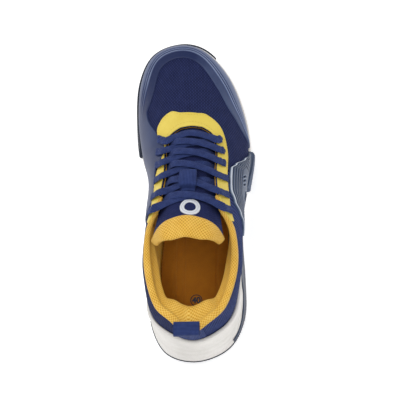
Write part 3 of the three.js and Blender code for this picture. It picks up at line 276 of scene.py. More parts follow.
# %% [markdown]
# Moulded films, rubber skins and cages are all one idea: a patch of the surface, raised by a height that is
# a function of the distance to the patch's edges. Edges get a quarter round, and ridges are added to the
# height.
# %% Patches and raised skins
def spread(count, ends=0.5):
    """Shares from 0 to 1, crowded towards both ends so that rounded edges get enough rows."""
    x = np.linspace(0, 1, count)
    return (1 - ends) * x + ends * (0.5 - 0.5 * np.cos(np.pi * x))


def patch(u_from, u_to, low, high, columns, rows):
    """Stations u, shares v and the share t between low(u) and high(u), each on a columns x rows grid."""
    u = u_from + (u_to - u_from) * spread(columns)[:, None]
    t = spread(rows)[None, :]
    return u + 0 * t, low(u) + (high(u) - low(u)) * t, t + 0 * u


def edge_distances(grid):
    """Distance in mm along the grid from its first and last column and from its first and last row."""
    along = np.linalg.norm(np.diff(grid, axis=0), axis=-1)
    up = np.linalg.norm(np.diff(grid, axis=1), axis=-1)
    along = np.concatenate([0 * along[:1], np.cumsum(along, 0)])
    up = np.concatenate([0 * up[:, :1], np.cumsum(up, 1)], 1)
    return along, along[-1:] - along, up, up[:, -1:] - up


def rounded(distance, radius):
    """Height of a rounded edge: a quarter circle over the first `radius`, then 1."""
    x = np.clip(distance / radius, 0, 1)
    return np.sqrt(np.maximum(0, 1 - (1 - x) ** 2))


def ridge(x, centre, width):
    """A smooth bump: exp(-((x - centre) / width)^2)."""
    return np.exp(-(((x - centre) / width) ** 2))


FEATHER = 0.08  # thickness left at a raised skin's very edge


def toned(piece, tone):
    """The piece with a `tone` for each point, the same on its outer and inner face."""
    if tone is not None:
        attribute = piece.data.attributes.new("tone", "FLOAT", "POINT")
        attribute.data.foreach_set("value", np.tile(np.asarray(tone, np.float32).ravel(), 2))
    return piece


def film(name, u, v, height, material, gap=0.05, radius=1.2, tone=None):
    """A skin on the upper: outer face `gap` + height away from the master face, height rounded off at its edges."""
    flat = layer(u, v, -gap)
    start, end, low, high = edge_distances(flat)
    shape = rounded(low, radius) * rounded(high, radius)
    shape = shape * rounded(start, radius) * rounded(end, radius)
    outer = layer(u, v, -gap - FEATHER - height * shape)
    return toned(shell(name, outer, flat, material), tone)


def table(rows):
    return lambda u: eased(rows, u)


def flowing(rows):
    """A smooth curve through [place, value] pairs: cubic pieces whose slopes are those of the neighbours."""
    places, values = np.array(rows, float).T
    slopes = np.gradient(values, places)

    def curve(at):
        at = np.clip(at, places[0], places[-1])
        i = np.clip(np.searchsorted(places, at) - 1, 0, len(places) - 2)
        width = places[i + 1] - places[i]
        w = (at - places[i]) / width
        ease = w * w * (3 - 2 * w)
        return values[i] * (1 - ease) + values[i + 1] * ease \
            + width * w * (1 - w) * (slopes[i] * (1 - w) - slopes[i + 1] * w)
    return curve

# %% [markdown]
# Every finish is a small node tree around one Principled shader. The helper below keeps the trees short: it
# makes a node, sets its inputs, and plugs one node's output into another's input.
# %% Node helper
class Finish:
    """A material whose pattern reads the UV map in millimetres (`mm`) or the object's own metres (`place`)."""

    def __init__(self, name, roughness=0.7, **sockets):
        self.material = bpy.data.materials.new(name)
        self.material.use_nodes = True
        self.tree = self.material.node_tree
        self.shader = self.tree.nodes["Principled BSDF"]
        self.shader.inputs["Roughness"].default_value = roughness
        for socket, value in sockets.items():
            self.shader.inputs[socket.replace("_", " ")].default_value = value
        coordinates = self.tree.nodes.new("ShaderNodeTexCoord")
        self.uv = self.tree.nodes.new("ShaderNodeUVMap").outputs[0]
        self.place = coordinates.outputs["Object"]

    def node(self, kind, *inputs, out=0, **settings):
        """A node of that kind with inputs in order: a socket is linked, a number is set, None is left alone."""
        made = self.tree.nodes.new("ShaderNode" + kind)
        for key, value in settings.items():
            setattr(made, key, value)
        for socket, value in zip(made.inputs, inputs):
            if isinstance(value, bpy.types.NodeSocket):
                self.tree.links.new(value, socket)
            elif value is not None:
                socket.default_value = value
        return made.outputs[out]

    def math(self, operation, a, b=0.0, c=0.0):
        return self.node("Math", a, b, c, operation=operation)

    def wave(self, value, period, phase=0.0):
        """0.5 + 0.5 cos(2 pi value / period + phase)."""
        turn = self.math("COSINE", self.math("MULTIPLY_ADD", value, 2 * np.pi / period, phase))
        return self.math("MULTIPLY_ADD", turn, 0.5, 0.5)

    def axes(self, vector):
        split = self.tree.nodes.new("ShaderNodeSeparateXYZ")
        self.tree.links.new(vector, split.inputs[0])
        return split.outputs

    def noise(self, vector, scale, detail=2.0):
        return self.node("TexNoise", vector, None, scale, detail)

    def ramp(self, factor, *stops):
        """A colour ramp through (place, colour) stops."""
        made = self.tree.nodes.new("ShaderNodeValToRGB")
        band = made.color_ramp
        while len(band.elements) < len(stops):
            band.elements.new(0.5)
        for element, (place, colour) in zip(band.elements, stops):
            element.position, element.color = place, (*colour, 1)
        self.tree.links.new(factor, made.inputs[0])
        return made.outputs[0]

    def colour(self, value):
        self.tree.links.new(value, self.shader.inputs["Base Color"])
        return self

    def rough(self, factor, low, high):
        value = self.math("MULTIPLY_ADD", factor, high - low, low)
        self.tree.links.new(value, self.shader.inputs["Roughness"])
        return self

    def bump(self, height, distance, strength=1.0):
        """Relief of `distance` metres where the height goes from 0 to 1."""
        made = self.tree.nodes.new("ShaderNodeBump")
        made.inputs["Strength"].default_value = strength
        made.inputs["Distance"].default_value = distance
        self.tree.links.new(height, made.inputs["Height"])
        self.tree.links.new(made.outputs[0], self.shader.inputs["Normal"])
        return self


def rgb(code):
    """A web colour such as "2b3c6e" as the linear numbers that a shader works in."""
    parts = np.array([int(code[k:k + 2], 16) for k in (0, 2, 4)]) / 255
    return tuple(float(c) for c in np.where(parts <= 0.04045, parts / 12.92, ((parts + 0.055) / 1.055) ** 2.4))

# %% [markdown]
# The upper is an engineered knit: fine columns of loops with a lattice of small lighter openings. The
# lattice is the product of two cosines, which peaks in staggered rows. A little noise keeps the yarn from
# looking printed.
# %% Knit finishes
LATTICE_ACROSS, LATTICE_UP = 3.2, 3.2  # millimetres between openings in one row, and between like rows


def knit(name, dark, light, across=LATTICE_ACROSS, up=LATTICE_UP, lean=0.0, open_yarn=0.5):
    made = Finish(name, 0.85, Sheen_Weight=0.06, Sheen_Roughness=0.5)
    made.shader.inputs["Sheen Tint"].default_value = (*rgb("8a96c8"), 1)
    made.shader.inputs["Specular IOR Level"].default_value = 0.12
    x, y, _ = made.axes(made.uv)
    drift = made.noise(made.uv, 0.12, 3.0)
    x = made.math("MULTIPLY_ADD", y, lean, x)
    first, second = made.wave(x, across), made.wave(y, up)
    both = made.math("MULTIPLY", first, second)
    neither = made.math("MULTIPLY", made.math("SUBTRACT", 1.0, first), made.math("SUBTRACT", 1.0, second))
    lattice = made.math("POWER", made.math("ADD", both, neither), 2.2)
    column = made.math("POWER", made.wave(x, across / 2), 2.0)
    yarn = made.wave(x, across / 6)
    loops = made.wave(made.math("MULTIPLY_ADD", made.wave(x, across / 3), 0.35, y), 0.8)
    tone = made.math("MULTIPLY_ADD", lattice, open_yarn, made.math("MULTIPLY", drift, 0.3))
    tone = made.math("MULTIPLY_ADD", column, 0.24, tone)
    made.colour(made.ramp(made.math("MULTIPLY_ADD", loops, 0.1, tone), (0.1, rgb(dark)), (0.85, rgb(light))))
    relief = made.math("MULTIPLY_ADD", lattice, -0.6, made.math("MULTIPLY_ADD", yarn, 0.2, loops))
    return made.bump(relief, 0.0003, 0.9).material


mesh_finish = knit("navy_knit", "0f1330", "353f72")
rib_finish = knit("navy_rib_knit", "141a40", "46558c", 3.4, 90.0, 0.75, 0.7)
tongue_finish = knit("tongue_knit", "171c43", "323d74", 2.0, 2.6, 0.0, 0.35)

# %% [markdown]
# The padded lining is a thicker knit with small raised scales. Its colour falls from bright yellow on the
# crowns to ochre in the valleys: painted highlight on the crowns and painted shade between the padded loops.
# %% Lining finish
def lining(name, deep, middle, bright, pitch=2.5):
    made = Finish(name, 0.6, Sheen_Weight=0.25, Sheen_Roughness=0.35)
    made.shader.inputs["Sheen Tint"].default_value = (*rgb("ffe9a0"), 1)
    made.shader.inputs["Specular IOR Level"].default_value = 0.35
    x, y, _ = made.axes(made.uv)
    first, second = made.wave(x, pitch), made.wave(y, pitch * 0.85)
    both = made.math("MULTIPLY", first, second)
    neither = made.math("MULTIPLY", made.math("SUBTRACT", 1.0, first), made.math("SUBTRACT", 1.0, second))
    crown = made.math("POWER", made.math("ADD", both, neither), 0.7)
    yarn = made.wave(made.math("ADD", x, y), pitch / 5)
    drift = made.noise(made.uv, 0.15, 3.0)
    # The crowns' share of the tone is painted highlight on the raised scales; the ochre valleys are painted shade.
    tone = made.math("MULTIPLY_ADD", drift, 0.35, made.math("MULTIPLY", crown, 0.75))
    made.colour(made.ramp(tone, (0.15, rgb(deep)), (0.5, rgb(middle)), (0.95, rgb(bright))))
    relief = made.math("MULTIPLY_ADD", yarn, 0.12, crown)
    return made.bump(relief, 0.0007, 0.9).material


lining_finish = lining("padded_lining_knit", "bd8216", "eab036", "fbd46e")
tongue_lining_finish = lining("tongue_lining_knit", "b87f14", "e4aa31", "f8d066", 2.4)
inner_finish = lining("inner_lining_cloth", "9a6a14", "cf962a", "e0aa3a", 1.6)

# %% [markdown]
# Moulded films and rubbers have no weave, only a faint pebble from the mould and a soft gloss. An attribute
# called tone, written along with the mesh, moves the colour. An `edge` colour at the top of the ramp is
# painted highlight on raised rims and crests.
# %% Moulded finishes
def moulded(name, dark, light, roughness, pebble=0.00006, grain=900.0, coat=0.0, tone=False, sheen=0.0,
            edge=None):
    made = Finish(name, roughness, Coat_Weight=coat, Coat_Roughness=0.35, Sheen_Weight=sheen)
    made.shader.inputs["Specular IOR Level"].default_value = 0.3
    fine = made.noise(made.place, grain, 4.0)
    broad = made.noise(made.place, 40.0, 3.0)
    if tone:
        value = made.node("Attribute", out="Fac", attribute_name="tone")
        factor = made.math("MULTIPLY_ADD", made.math("SUBTRACT", broad, 0.5), 0.35, value)
    else:
        factor = made.math("MULTIPLY_ADD", fine, 0.25, made.math("MULTIPLY", broad, 0.75))
    # An `edge` colour is painted highlight: the ramp's top stop, reached where the tone climbs past 0.8.
    painted_highlight_stop = [(1.0, rgb(edge))] if edge else []
    made.colour(made.ramp(factor, (0.2, rgb(dark)), (0.8, rgb(light)), *painted_highlight_stop))
    made.rough(broad, roughness - 0.06, roughness + 0.08)
    return made.bump(fine, pebble, 1.0).material


# The guard's top colour, 8390b0, is painted highlight on its crests.
guard_finish = moulded("moulded_toe_film", "14234e", "5a688c", 0.46, coat=0.08, tone=True, edge="8390b0")
eyestay_finish = moulded("yellow_film", "d8bd45", "ecd566", 0.5, 0.00012, 700.0, coat=0.1)
# The cage's near-white top colour, c3cad6, is painted highlight on its bevel and slot lips.
cage_finish = moulded("moulded_cage", "18243f", "566784", 0.42, coat=0.12, tone=True, edge="c3cad6")
rubber_finish = moulded("outsole_rubber", "141a29", "232c3f", 0.62, 0.00012, 1100.0)
outrigger_finish = moulded("outrigger_rubber", "323e57", "5c6a84", 0.55, 0.0001, 800.0)
foam_finish = moulded("midsole_foam", "d5d1cb", "f1eeea", 0.55, 0.00016, 600.0, sheen=0.1)
shank_finish = moulded("shank_plastic", "2c3a52", "4a5c78", 0.35, 0.00003, 900.0, coat=0.4)
board_finish = moulded("board_felt", "d8d2c2", "efeadc", 0.9, 0.0003, 1500.0)
stuffing_finish = moulded("padding_foam", "c3baa6", "ded6c6", 0.95, 0.0003, 1200.0)
tip_finish = moulded("aglet_plastic", "232c48", "3a4668", 0.25, 0.00002, 900.0, coat=0.6)
label_finish = moulded("label_rubber", "8f939e", "d5d8de", 0.45, 0.00003, 900.0, tone=True)
thread_finish = moulded("stitching_thread", "b99a35", "e8cf6a", 0.75, 0.00004, 4000.0)
navy_thread_finish = moulded("navy_stitching_thread", "2b3a66", "56659a", 0.75, 0.00004, 4000.0)

# %% [markdown]
# Laces and webbing are flat weaves. The lace is a tubular braid pressed flat, so its yarns cross in a
# herringbone. The webbing has straight ribs across it. Both have a light sheen, and painted highlight on the yarns'
# crowns.
# %% Woven finishes
def braid(name, dark, middle, light, across, along, slant):
    made = Finish(name, 0.78, Sheen_Weight=0.15, Sheen_Roughness=0.4)
    made.shader.inputs["Sheen Tint"].default_value = (*rgb("8b9ad0"), 1)
    made.shader.inputs["Specular IOR Level"].default_value = 0.25
    length, width, _ = made.axes(made.uv)
    turns = made.math("FRACT", made.math("DIVIDE", width, across))
    fold = made.math("ABSOLUTE", made.math("SUBTRACT", turns, 0.5))
    yarn = made.wave(made.math("MULTIPLY_ADD", fold, slant, length), along)
    column = made.wave(width, across, np.pi)
    relief = made.math("MULTIPLY", yarn, made.math("MULTIPLY_ADD", column, 0.6, 0.4))
    drift = made.noise(made.uv, 0.2, 3.0)
    # The relief's share of the tone is painted highlight on the raised yarns.
    tone = made.math("MULTIPLY_ADD", drift, 0.5, made.math("MULTIPLY", relief, 0.6))
    made.colour(made.ramp(tone, (0.1, rgb(dark)), (0.5, rgb(middle)), (0.95, rgb(light))))
    return made.bump(relief, 0.0003, 0.9).material


lace_finish = braid("lace_braid", "121c40", "24346a", "4a5c95", 1.3, 0.9, 1.3)
webbing_finish = braid("navy_webbing", "16214a", "24356a", "42548c", 1.0, 1.1, 0.0)

print(len(bpy.data.materials), "finishes")

# %% [markdown]
# The sole is a cup: foam under the foot that rises into a wall round the upper. Its outline is one more
# ring of points, and its height above the ground is flat under the foot, rising at the toe and at the back
# of the heel.
# %% Sole outline and ground line
OUTSOLE_THICKNESS, GAP = 4.0, 0.3
SOLE_EDGE_ROUND, SOLE_WIDEST, CUP_WALL, WALL_GAP = 1.5, 9.0, 3.2, 0.4


def ground_rise(y):
    """Height of the underside: 13 mm of toe spring and 4 mm of heel bevel, both growing with the square."""
    return 13 * np.clip((y - 50) / 94, 0, 1) ** 2 + 4 * np.clip((-118 - y) / 26, 0, 1) ** 2


def arch_rise(y):
    return 3.5 * smooth(y, -72, -50) * (1 - smooth(y, -14, 6))


def sole_ring(u):
    return spline(SOLE, np.asarray(u, float) / STATIONS, closed=True)


def sole_edge(u, inset, height):
    """The outline moved in by `inset` at a height above the underside, and the unit vector out of it."""
    point = sole_ring(u)
    along = unit(sole_ring(u + STEP) - sole_ring(u - STEP))
    out = np.stack([-along[..., 1], along[..., 0]], -1)
    edge = point - out * np.asarray(inset)[..., None]
    return np.concatenate([edge, (ground_rise(point[..., 1]) + height)[..., None]], -1), \
        np.concatenate([out, 0 * out[..., :1]], -1)


def wall(u, share, out=0.0):
    """The cup's side wall from its foot (share 0) to its rim (1): a spline through the foot, the widest line, a
    point on the flank and the rim, pushed out of the outline by `out`."""
    u, share = np.broadcast_arrays(np.asarray(u, float), np.asarray(share, float))
    low, outward = sole_edge(u, 0.0, SOLE_WIDEST)
    foot = sole_edge(u, SOLE_EDGE_ROUND, OUTSOLE_THICKNESS + GAP)[0]
    foot[..., 2] += arch_rise(foot[..., 1])
    high = layer(u, rim_share(u), -CUP_WALL)
    flank = low + (high - low) * 0.6 - 0.8 * directions(u, rim_share(u))[2]
    place = np.interp(share, [0, 0.3, 0.75, 1], [0, 1 / 3, 2 / 3, 1])
    return spline(np.stack([foot, low, flank, high]), place) + outward * np.asarray(out, float)[..., None]


# %% Midsole
def across_strips(ring, first, flip):
    """Strips from side to side that close a ring whose point i lies opposite point n - i."""
    i = np.arange(ring // 2)
    strips = np.stack([i, i + 1, (ring - i - 1) % ring, (ring - i) % ring], -1) + first
    return strips[:, ::-1] if flip else strips


def stacked(name, rings, material):
    """A solid whose wall is a stack of closed rings, with its first and last rings closed across."""
    levels, ring = rings.shape[:2]
    points = rings.reshape(-1, 3)
    caps = [across_strips(ring, 0, True), across_strips(ring, (levels - 1) * ring, False)]
    numbers = np.arange(levels * ring).reshape(levels, ring)
    numbers = np.concatenate([numbers, numbers[:, :1]], 1)
    side = np.stack([numbers[:-1, :-1], numbers[:-1, 1:], numbers[1:, 1:], numbers[1:, :-1]], -1)
    side = side.reshape(-1, 4)
    faces = np.concatenate([side, *caps])
    if volume(points, faces) < 0:
        faces = faces[:, ::-1]
    corners = [tuple(dict.fromkeys(f)) for f in faces.tolist()]
    around = np.concatenate([[0], np.cumsum(np.linalg.norm(np.diff(rings[1], axis=0), axis=-1))])
    climb = np.concatenate([[0], np.cumsum(np.linalg.norm(np.diff(rings, axis=0), axis=-1).mean(1))])
    uv = np.stack(np.broadcast_arrays(around[None, :], climb[:, None]), -1).reshape(-1, 2)
    return mesh_piece(name, points, corners, uv, material)


RING = np.arange(STATIONS * 12) / 12
around_heel = np.minimum(RING, STATIONS - RING)
steps = smooth(3.2 - around_heel, 0, 1)  # moulded steps show on the heel cup only
wall_shares = np.concatenate([np.linspace(0, 0.12, 4), np.linspace(0.16, 0.95, 40), [0.97, 0.985, 1]])
rings = []
for share in wall_shares:
    lines = ridge(share, 0.42, 0.018) + ridge(share, 0.55, 0.018) + ridge(share, 0.68, 0.018)
    lip = ridge(share, 0.93, 0.05) * 0.4
    rings.append(wall(RING, share, -0.55 * lines * steps + lip))
rim = rim_share(RING)
rings.append(layer(RING, rim, -CUP_WALL * 0.85, 0, 0.55))
rings.append(layer(RING, rim, -CUP_WALL * 0.45, 0, 0.75))
rings.append(layer(RING, rim, -WALL_GAP - 0.2, 0, 0.4))
rings += [layer(RING, rim * k, -WALL_GAP) for k in (0.97, 0.7, 0.35)]
footbed = layer(RING, 0 * RING, -WALL_GAP)
footbed[:, 2] = face(RING, 0 * RING)[:, 2] - 0.3
rings.append(footbed)
midsole = stacked("cup_midsole", np.stack(rings), foam_finish)
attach(midsole, "shoe")
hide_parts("midsole")
print("midsole", len(midsole.data.polygons), "faces")

# %% [markdown]
# Three skins are bonded to the cup's wall: rubber that wraps the toe and the inner forefoot against
# dragging, an outrigger block that widens the outer forefoot, and a moulded strip that steadies the outer
# heel.
# %% Wall skins
def wall_skin(name, u_from, u_to, low, high, thickness, material, radius, columns, rows,
              relief=None, tone=None):
    u, share, t = patch(u_from, u_to, low, high, columns, rows)
    base = wall(u, share, 0.1)
    start, end, foot, top = edge_distances(base)
    shape = rounded(start, radius) * rounded(end, radius) * rounded(foot, radius) * rounded(top, radius)
    height = thickness * shape
    if relief is not None:
        height = height + relief(start, foot, t) * shape
    piece = shell(name, wall(u, share, 0.1 + FEATHER + height), base, material)
    return toned(piece, None if tone is None else tone(start, foot, t))


def dressed(piece, node):
    """A piece of the shoe's own body that stands for CAD nodes, which are hidden."""
    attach(piece, "shoe")
    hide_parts(*node.split())
    return piece


WRAP_TOP = [[7.08, 0.5], [7.5, 0.9], [9, 0.96], [11, 0.9], [11.8, 0.8], [12.25, 0.5]]
dressed(wall_skin("toe_wrap_rubber", 7.08, 12.25, lambda u: 0 * u + 0.04, table(WRAP_TOP), 2.4, rubber_finish,
                  1.6, 150, 26, lambda along, up, t: 0.25 * ridge(t, 0.35, 0.03) + 0.25 * ridge(t, 0.6, 0.03)),
        "toe_wrap")


def outrigger_dots(along, up, t):
    """Rows of shallow dimples: cos * cos of the distances along and up, kept where it is high."""
    dots = np.cos(along * 2 * np.pi / 4.2) * np.cos(up * 2 * np.pi / 4.2)
    return -0.5 * smooth(dots, 0.55, 0.9)


def outrigger(name, u_from, u_to, columns=90, rows=70):
    """A block on the wall that turns in over the rim as far as the upper: spline sections from foot to crown."""
    u = u_from + (u_to - u_from) * spread(columns)[:, None] + np.zeros(rows)
    rim, place = rim_share(u), spread(rows, 0.2)[None, :] + 0 * u

    def section(out, top, crown):
        knots = [wall(u, share + 0 * u, out) for share in (0.04, 0.3, 0.55, 0.75, 0.93)]
        knots += [layer(u, rim, -CUP_WALL - 0.6 * (out - 0.1), 0, crown),
                  layer(u, rim, -CUP_WALL, 0, top), layer(u, rim + 0.02, -0.7, 0, top)]
        return spline(np.stack(knots), place)
    base, block = section(0.1, 0.15, 0.1), section(3.5, 1.5, 0.6)
    start, end, foot, top = edge_distances(base)
    shape = rounded(start, 2.2) * rounded(end, 1.2) * rounded(foot, 1.5)
    shape = shape * (1 + 0.14 * outrigger_dots(start, foot, top))
    return shell(name, base + (block - base) * (0.03 + 0.97 * shape)[..., None], base, outrigger_finish)


dressed(outrigger("outrigger_block", 14.95, 16.02), "lateral_outrigger")
STABILISER_TOP = [[16.1, 0.9], [18, 0.93], [18.9, 0.88], [19.4, 0.6], [20.75, 0.42]]
dressed(wall_skin("stabiliser_strip", 16.1, 20.75, lambda u: 0 * u + 0.3, table(STABILISER_TOP), 0.8,
                  cage_finish, 0.7, 160, 30, lambda along, up, t: 0.2 * ridge(t, 0.3, 0.04),
                  lambda along, up, t: 0.2 + 0.2 * ridge(t, 0.9, 0.1)), "lateral_stabiliser")
heel_lip = wall_skin("outsole_heel_lip", 19.9, 24.1, lambda u: 0 * u + 0.01, lambda u: 0 * u + 0.27, 0.6,
                     rubber_finish, 0.5, 120, 14)
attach(heel_lip, "shoe")

# %% [markdown]
# The upper's knit is cut from flat cloth, so its lattice keeps straight lines across the toe. Its UV map is
# the plan view, unrolled a little more where the sides turn down.
# %% Knit upper
def plan_uv(points):
    """x grows by the share that z has dropped, y stays: a simple unrolling of the toe."""
    x, y, z = points[..., 0], points[..., 1], points[..., 2]
    return np.stack([x * (1 + (66 - z) / 70), y], -1)


INNER_SEAM, OUTER_SEAM, SEAM, MESH_THICKNESS = 6.25, 15.75, 0.015, 1.5
nothing = lambda u: 0 * u
edge = lambda u: 0 * u + 1
for name, node, u_from, u_to, finish in (
        ("vamp_knit", "vamp_mesh", INNER_SEAM + SEAM, OUTER_SEAM - SEAM, mesh_finish),
        ("inner_quarter_knit", "quarter_medial", SEAM, INNER_SEAM - SEAM, mesh_finish),
        ("outer_quarter_knit", "quarter_lateral", OUTER_SEAM + SEAM, STATIONS - SEAM, rib_finish)):
    u, v, t = patch(u_from, u_to, nothing, edge, 150, 70)
    outer = layer(u, v)
    uv = plan_uv(outer) if node == "vamp_mesh" else None
    dressed(shell(name, outer, layer(u, v, MESH_THICKNESS), finish, uv=uv), node)

# %% [markdown]
# The toe guard and the inner side film are moulded in one. Its upper edge drops to the toe just in front of
# the lacing. Grooves and ridges run round the toe and fade out towards the inner side.
# %% Toe guard and inner side film
ABOVE_RIM = 0.02
above_rim = lambda u: rim_share(u) + ABOVE_RIM
GUARD_TOP = [[3.7, 0.64], [8.2, 0.655], [9, 0.64], [10, 0.575], [11, 0.565], [12, 0.575], [13, 0.62], [14, 0.62],
             [14.5, 0.51], [14.88, 0.28]]
FILM_TOP = [[3.7, 0.2], [4.4, 0.55], [5, 0.82], [6, 0.845], [6.45, 0.86], [6.75, 0.955], [7.5, 0.955], [7.8, 0.83],
            [7.97, 0.72], [8.2, 0.655], [8.6, 0.65], *GUARD_TOP[2:]]
u = np.unique(np.concatenate([3.7 + 0.9 * spread(40), np.linspace(4.6, 7.4, 60), np.linspace(7.4, 8.4, 90),
                              np.linspace(8.4, 14.2, 150), 14.2 + 0.68 * spread(50)]))[:, None]
t = spread(110)[None, :]
lowest, highest = above_rim(u), flowing(FILM_TOP)(u)
u, v, t = u + 0 * t, lowest + (highest - lowest) * t, t + 0 * u
guard_share = (v - lowest) / (flowing(GUARD_TOP)(u) - lowest)
on_toe = smooth(u, 7.8, 9.4)
groove = sum(ridge(guard_share, at, 0.02) for at in (0.655, 0.735))
crest = sum(ridge(guard_share, at, 0.018) for at in (0.695, 0.78))
inner_zone = smooth(guard_share, 0.79, 0.82) * on_toe
height = 1.25 + on_toe * (0.35 * crest - 0.7 * groove) - 0.45 * inner_zone
outer_side = smooth(u, 10.5, 13.0)
# The tone's lift on the crests and its drop in the grooves are painted highlight and painted shade on the toe's
# ridges.
tone = 0.32 + 0.3 * on_toe + 0.1 * outer_side - (0.62 - 0.32 * outer_side) * inner_zone \
    + on_toe * (0.35 * crest - 0.6 * groove)
dressed(film("toe_and_side_film", u, v, height, guard_finish, tone=tone),
        "toe_guard medial_overlay")

# %% Eyestay
EYESTAY_EDGE = [[4.35, 0.9], [5, 0.86], [6.2, 0.855], [6.7, 0.95], [7.3, 0.95], [7.75, 0.855], [8.3, 0.845],
                [9, 0.865], [10, 0.905], [11, 0.922], [12, 0.912], [13, 0.888], [14, 0.872], [15, 0.86], [16, 0.857],
                [17, 0.86], [17.7, 0.9]]
u, v, t = patch(4.35, 17.65, flowing(EYESTAY_EDGE), lambda u: 0 * u + 0.998, 260, 24)
dressed(film("eyestay_yellow", u, v, 0.9 + 0 * u, eyestay_finish, gap=0.1, radius=0.7),
        "eyestay")

# %% Lateral cage
CAGE_TOP = [[15.02, 0.42], [15.2, 0.6], [15.45, 0.76], [15.62, 0.825], [16.4, 0.835], [16.8, 0.79], [17.2, 0.69],
            [17.6, 0.58], [18.1, 0.46]]
CAGE_FOOT = [[16.15, 0], [16.5, 0.26], [16.8, 0.38], [17.2, 0.38], [17.6, 0.33], [18.1, 0.2]]
foot = table(CAGE_FOOT)
u, v, t = patch(15.02, 18.1, lambda u: above_rim(u) + foot(u), table(CAGE_TOP), 200, 130)
start, end, low, high = edge_distances(layer(u, v))
chevron = np.minimum(start * 0.9, high + 2.0)
grooves = sum(ridge(chevron, at, 0.5) for at in (5.0, 8.5, 12.0, 15.5, 19.0))
STATION_LENGTH, CLIMB_LENGTH = 29.0, 75.0  # mm for one station and for the whole climb, under the cage


def pressed_slot(u_at, v_at, half_long, half_wide, slant):
    """1 inside a slot with rounded ends and 0 outside, and the same for a rim just around it."""
    a, b = (u - u_at) * STATION_LENGTH, (v - v_at) * CLIMB_LENGTH
    along, across = a * np.cos(slant) + b * np.sin(slant), b * np.cos(slant) - a * np.sin(slant)
    away = np.hypot(np.maximum(np.abs(along) - half_long, 0), across) - half_wide
    return 1 - smooth(away, -0.3, 0.3), ridge(away, 0.7, 0.5)


SLOTS = [(15.84, 0.58, 1.8, 0.8, 1.2), (15.98, 0.575, 1.8, 0.8, 1.2), (16.12, 0.57, 1.8, 0.8, 1.2),
         (16.48, 0.53, 3.0, 2.0, 0.25)]
holes = [pressed_slot(*slot) for slot in SLOTS]
hollow, lips = (np.maximum.reduce([hole[k] for hole in holes]) for k in (0, 1))
plain = (1 - hollow) * (1 - lips)
height = 1.8 - 0.8 * grooves * plain - 1.2 * hollow + 0.25 * lips
# Painted light in the tone: the bevel term is painted highlight along the top edge, the lips' lift is painted
# highlight round the slots, and the drop in the grooves is painted shade. The slots are darker inside.
painted_bevel_highlight = ridge(high, 1.0, 0.9) * smooth(start, 6, 14)
tone = 0.5 - 0.4 * grooves * plain - 0.5 * hollow + 0.4 * lips + 0.6 * painted_bevel_highlight \
    + 0.2 * ridge(chevron, 3.4, 0.5) * plain
dressed(film("outer_cage", u, v, height, cage_finish, gap=0.1, tone=tone), "lateral_cage")

# %% [markdown]
# The collar is a thick pad: foam behind a lining that rises on the inner side, bulges towards the ankle and
# turns over the edge of the quarters. Its thickness is a product of two eased tables, round the foot and up
# the wall.
# %% Padded collar
PAD_HEEL, PAD_ANKLE, LINING_THICKNESS, STIFFENER_THICKNESS, TURN_GAP = 17.0, 11.5, 1.0, 1.0, 0.8
PAD_ROUND = [[0, PAD_HEEL], [1, 14.5], [2, PAD_ANKLE], [3, PAD_ANKLE], [4, 0.5 * PAD_ANKLE],
             [4.6, 0.04 * PAD_ANKLE], [5, 0]]
PAD_CLIMB = [[0, 0], [0.15, 0.06], [0.3, 0.38], [0.46, 0.78], [0.62, 1], [0.8, 0.92], [1, 0.24]]


def padding(u, v):
    near = u % STATIONS
    return eased(PAD_ROUND, np.minimum(near, STATIONS - near)) * eased(PAD_CLIMB, v)


def stiffening(u, v):
    """Extra depth where a toe puff or heel counter lies between knit and lining, eased in round its edges."""
    def ease(x, low, high, soft):
        return smooth(x, low - soft, low) * (1 - smooth(x, high, high + soft))
    whole = np.where(u < STATIONS / 2, u + STATIONS, u)
    fade = 1 - smooth(v, 0.46, 0.61)
    return (STIFFENER_THICKNESS + GAP) * np.maximum(ease(u, 26 / 3, 40 / 3, 0.35) * fade,
                                                    ease(whole, 59 / 3, 73 / 3, 0.35) * fade)


def lining_outer(u, v):
    return MESH_THICKNESS + GAP + stiffening(u, v)


COLLAR_FROM, COLLAR_TO = 16.65, 27.35
CROWN_ROW = 42  # the grid row on the fullest part of the pad
u, v, t = patch(COLLAR_FROM + SEAM, COLLAR_TO - SEAM, nothing, edge, 300, 60)
depth = lining_outer(u, v) + GAP
inner_face = layer(u, v, depth + LINING_THICKNESS, padding(u, v))
roll_u = u[:, :1]
last = lining_outer(roll_u, edge(roll_u)) + GAP
turn = np.linspace(0, 1, 12)[None, 1:]
crown = np.sin(np.pi * turn) * 1.1
start_roll = last + LINING_THICKNESS
pad_left = padding(roll_u, edge(roll_u))
roll = layer(roll_u + 0 * turn, 1 + 0 * (roll_u + turn), start_roll * (1 - turn) - 0.35 * turn,
             pad_left * (1 - turn), TURN_GAP + 0.5 + crown)
skirt_share = np.linspace(1, 0.955, 6)[None, 1:]
skirt = layer(roll_u + 0 * skirt_share, skirt_share + 0 * roll_u, -0.35)
front = np.concatenate([inner_face, roll, skirt], 1)
back = np.concatenate([layer(u, v, depth, padding(u, v)),
                       layer(roll_u + 0 * turn, 1 + 0 * (roll_u + turn), last * (1 - turn), pad_left * (1 - turn),
                             TURN_GAP - 0.3 + 0.5 * crown),
                       layer(roll_u + 0 * skirt_share, skirt_share + 0 * roll_u, -0.05)], 1)
around = np.linalg.norm(np.diff(front[:, CROWN_ROW], axis=0), axis=-1)
along_crown = np.concatenate([[0], np.cumsum(around)])[:, None]
collar_uv = np.stack(np.broadcast_arrays(along_crown, lengths(front, 1)[None, :]), -1)
collar = dressed(shell("collar_padded_lining", front, back, lining_finish, uv=collar_uv),
                 "collar_lining_medial collar_lining_lateral collar_foam")

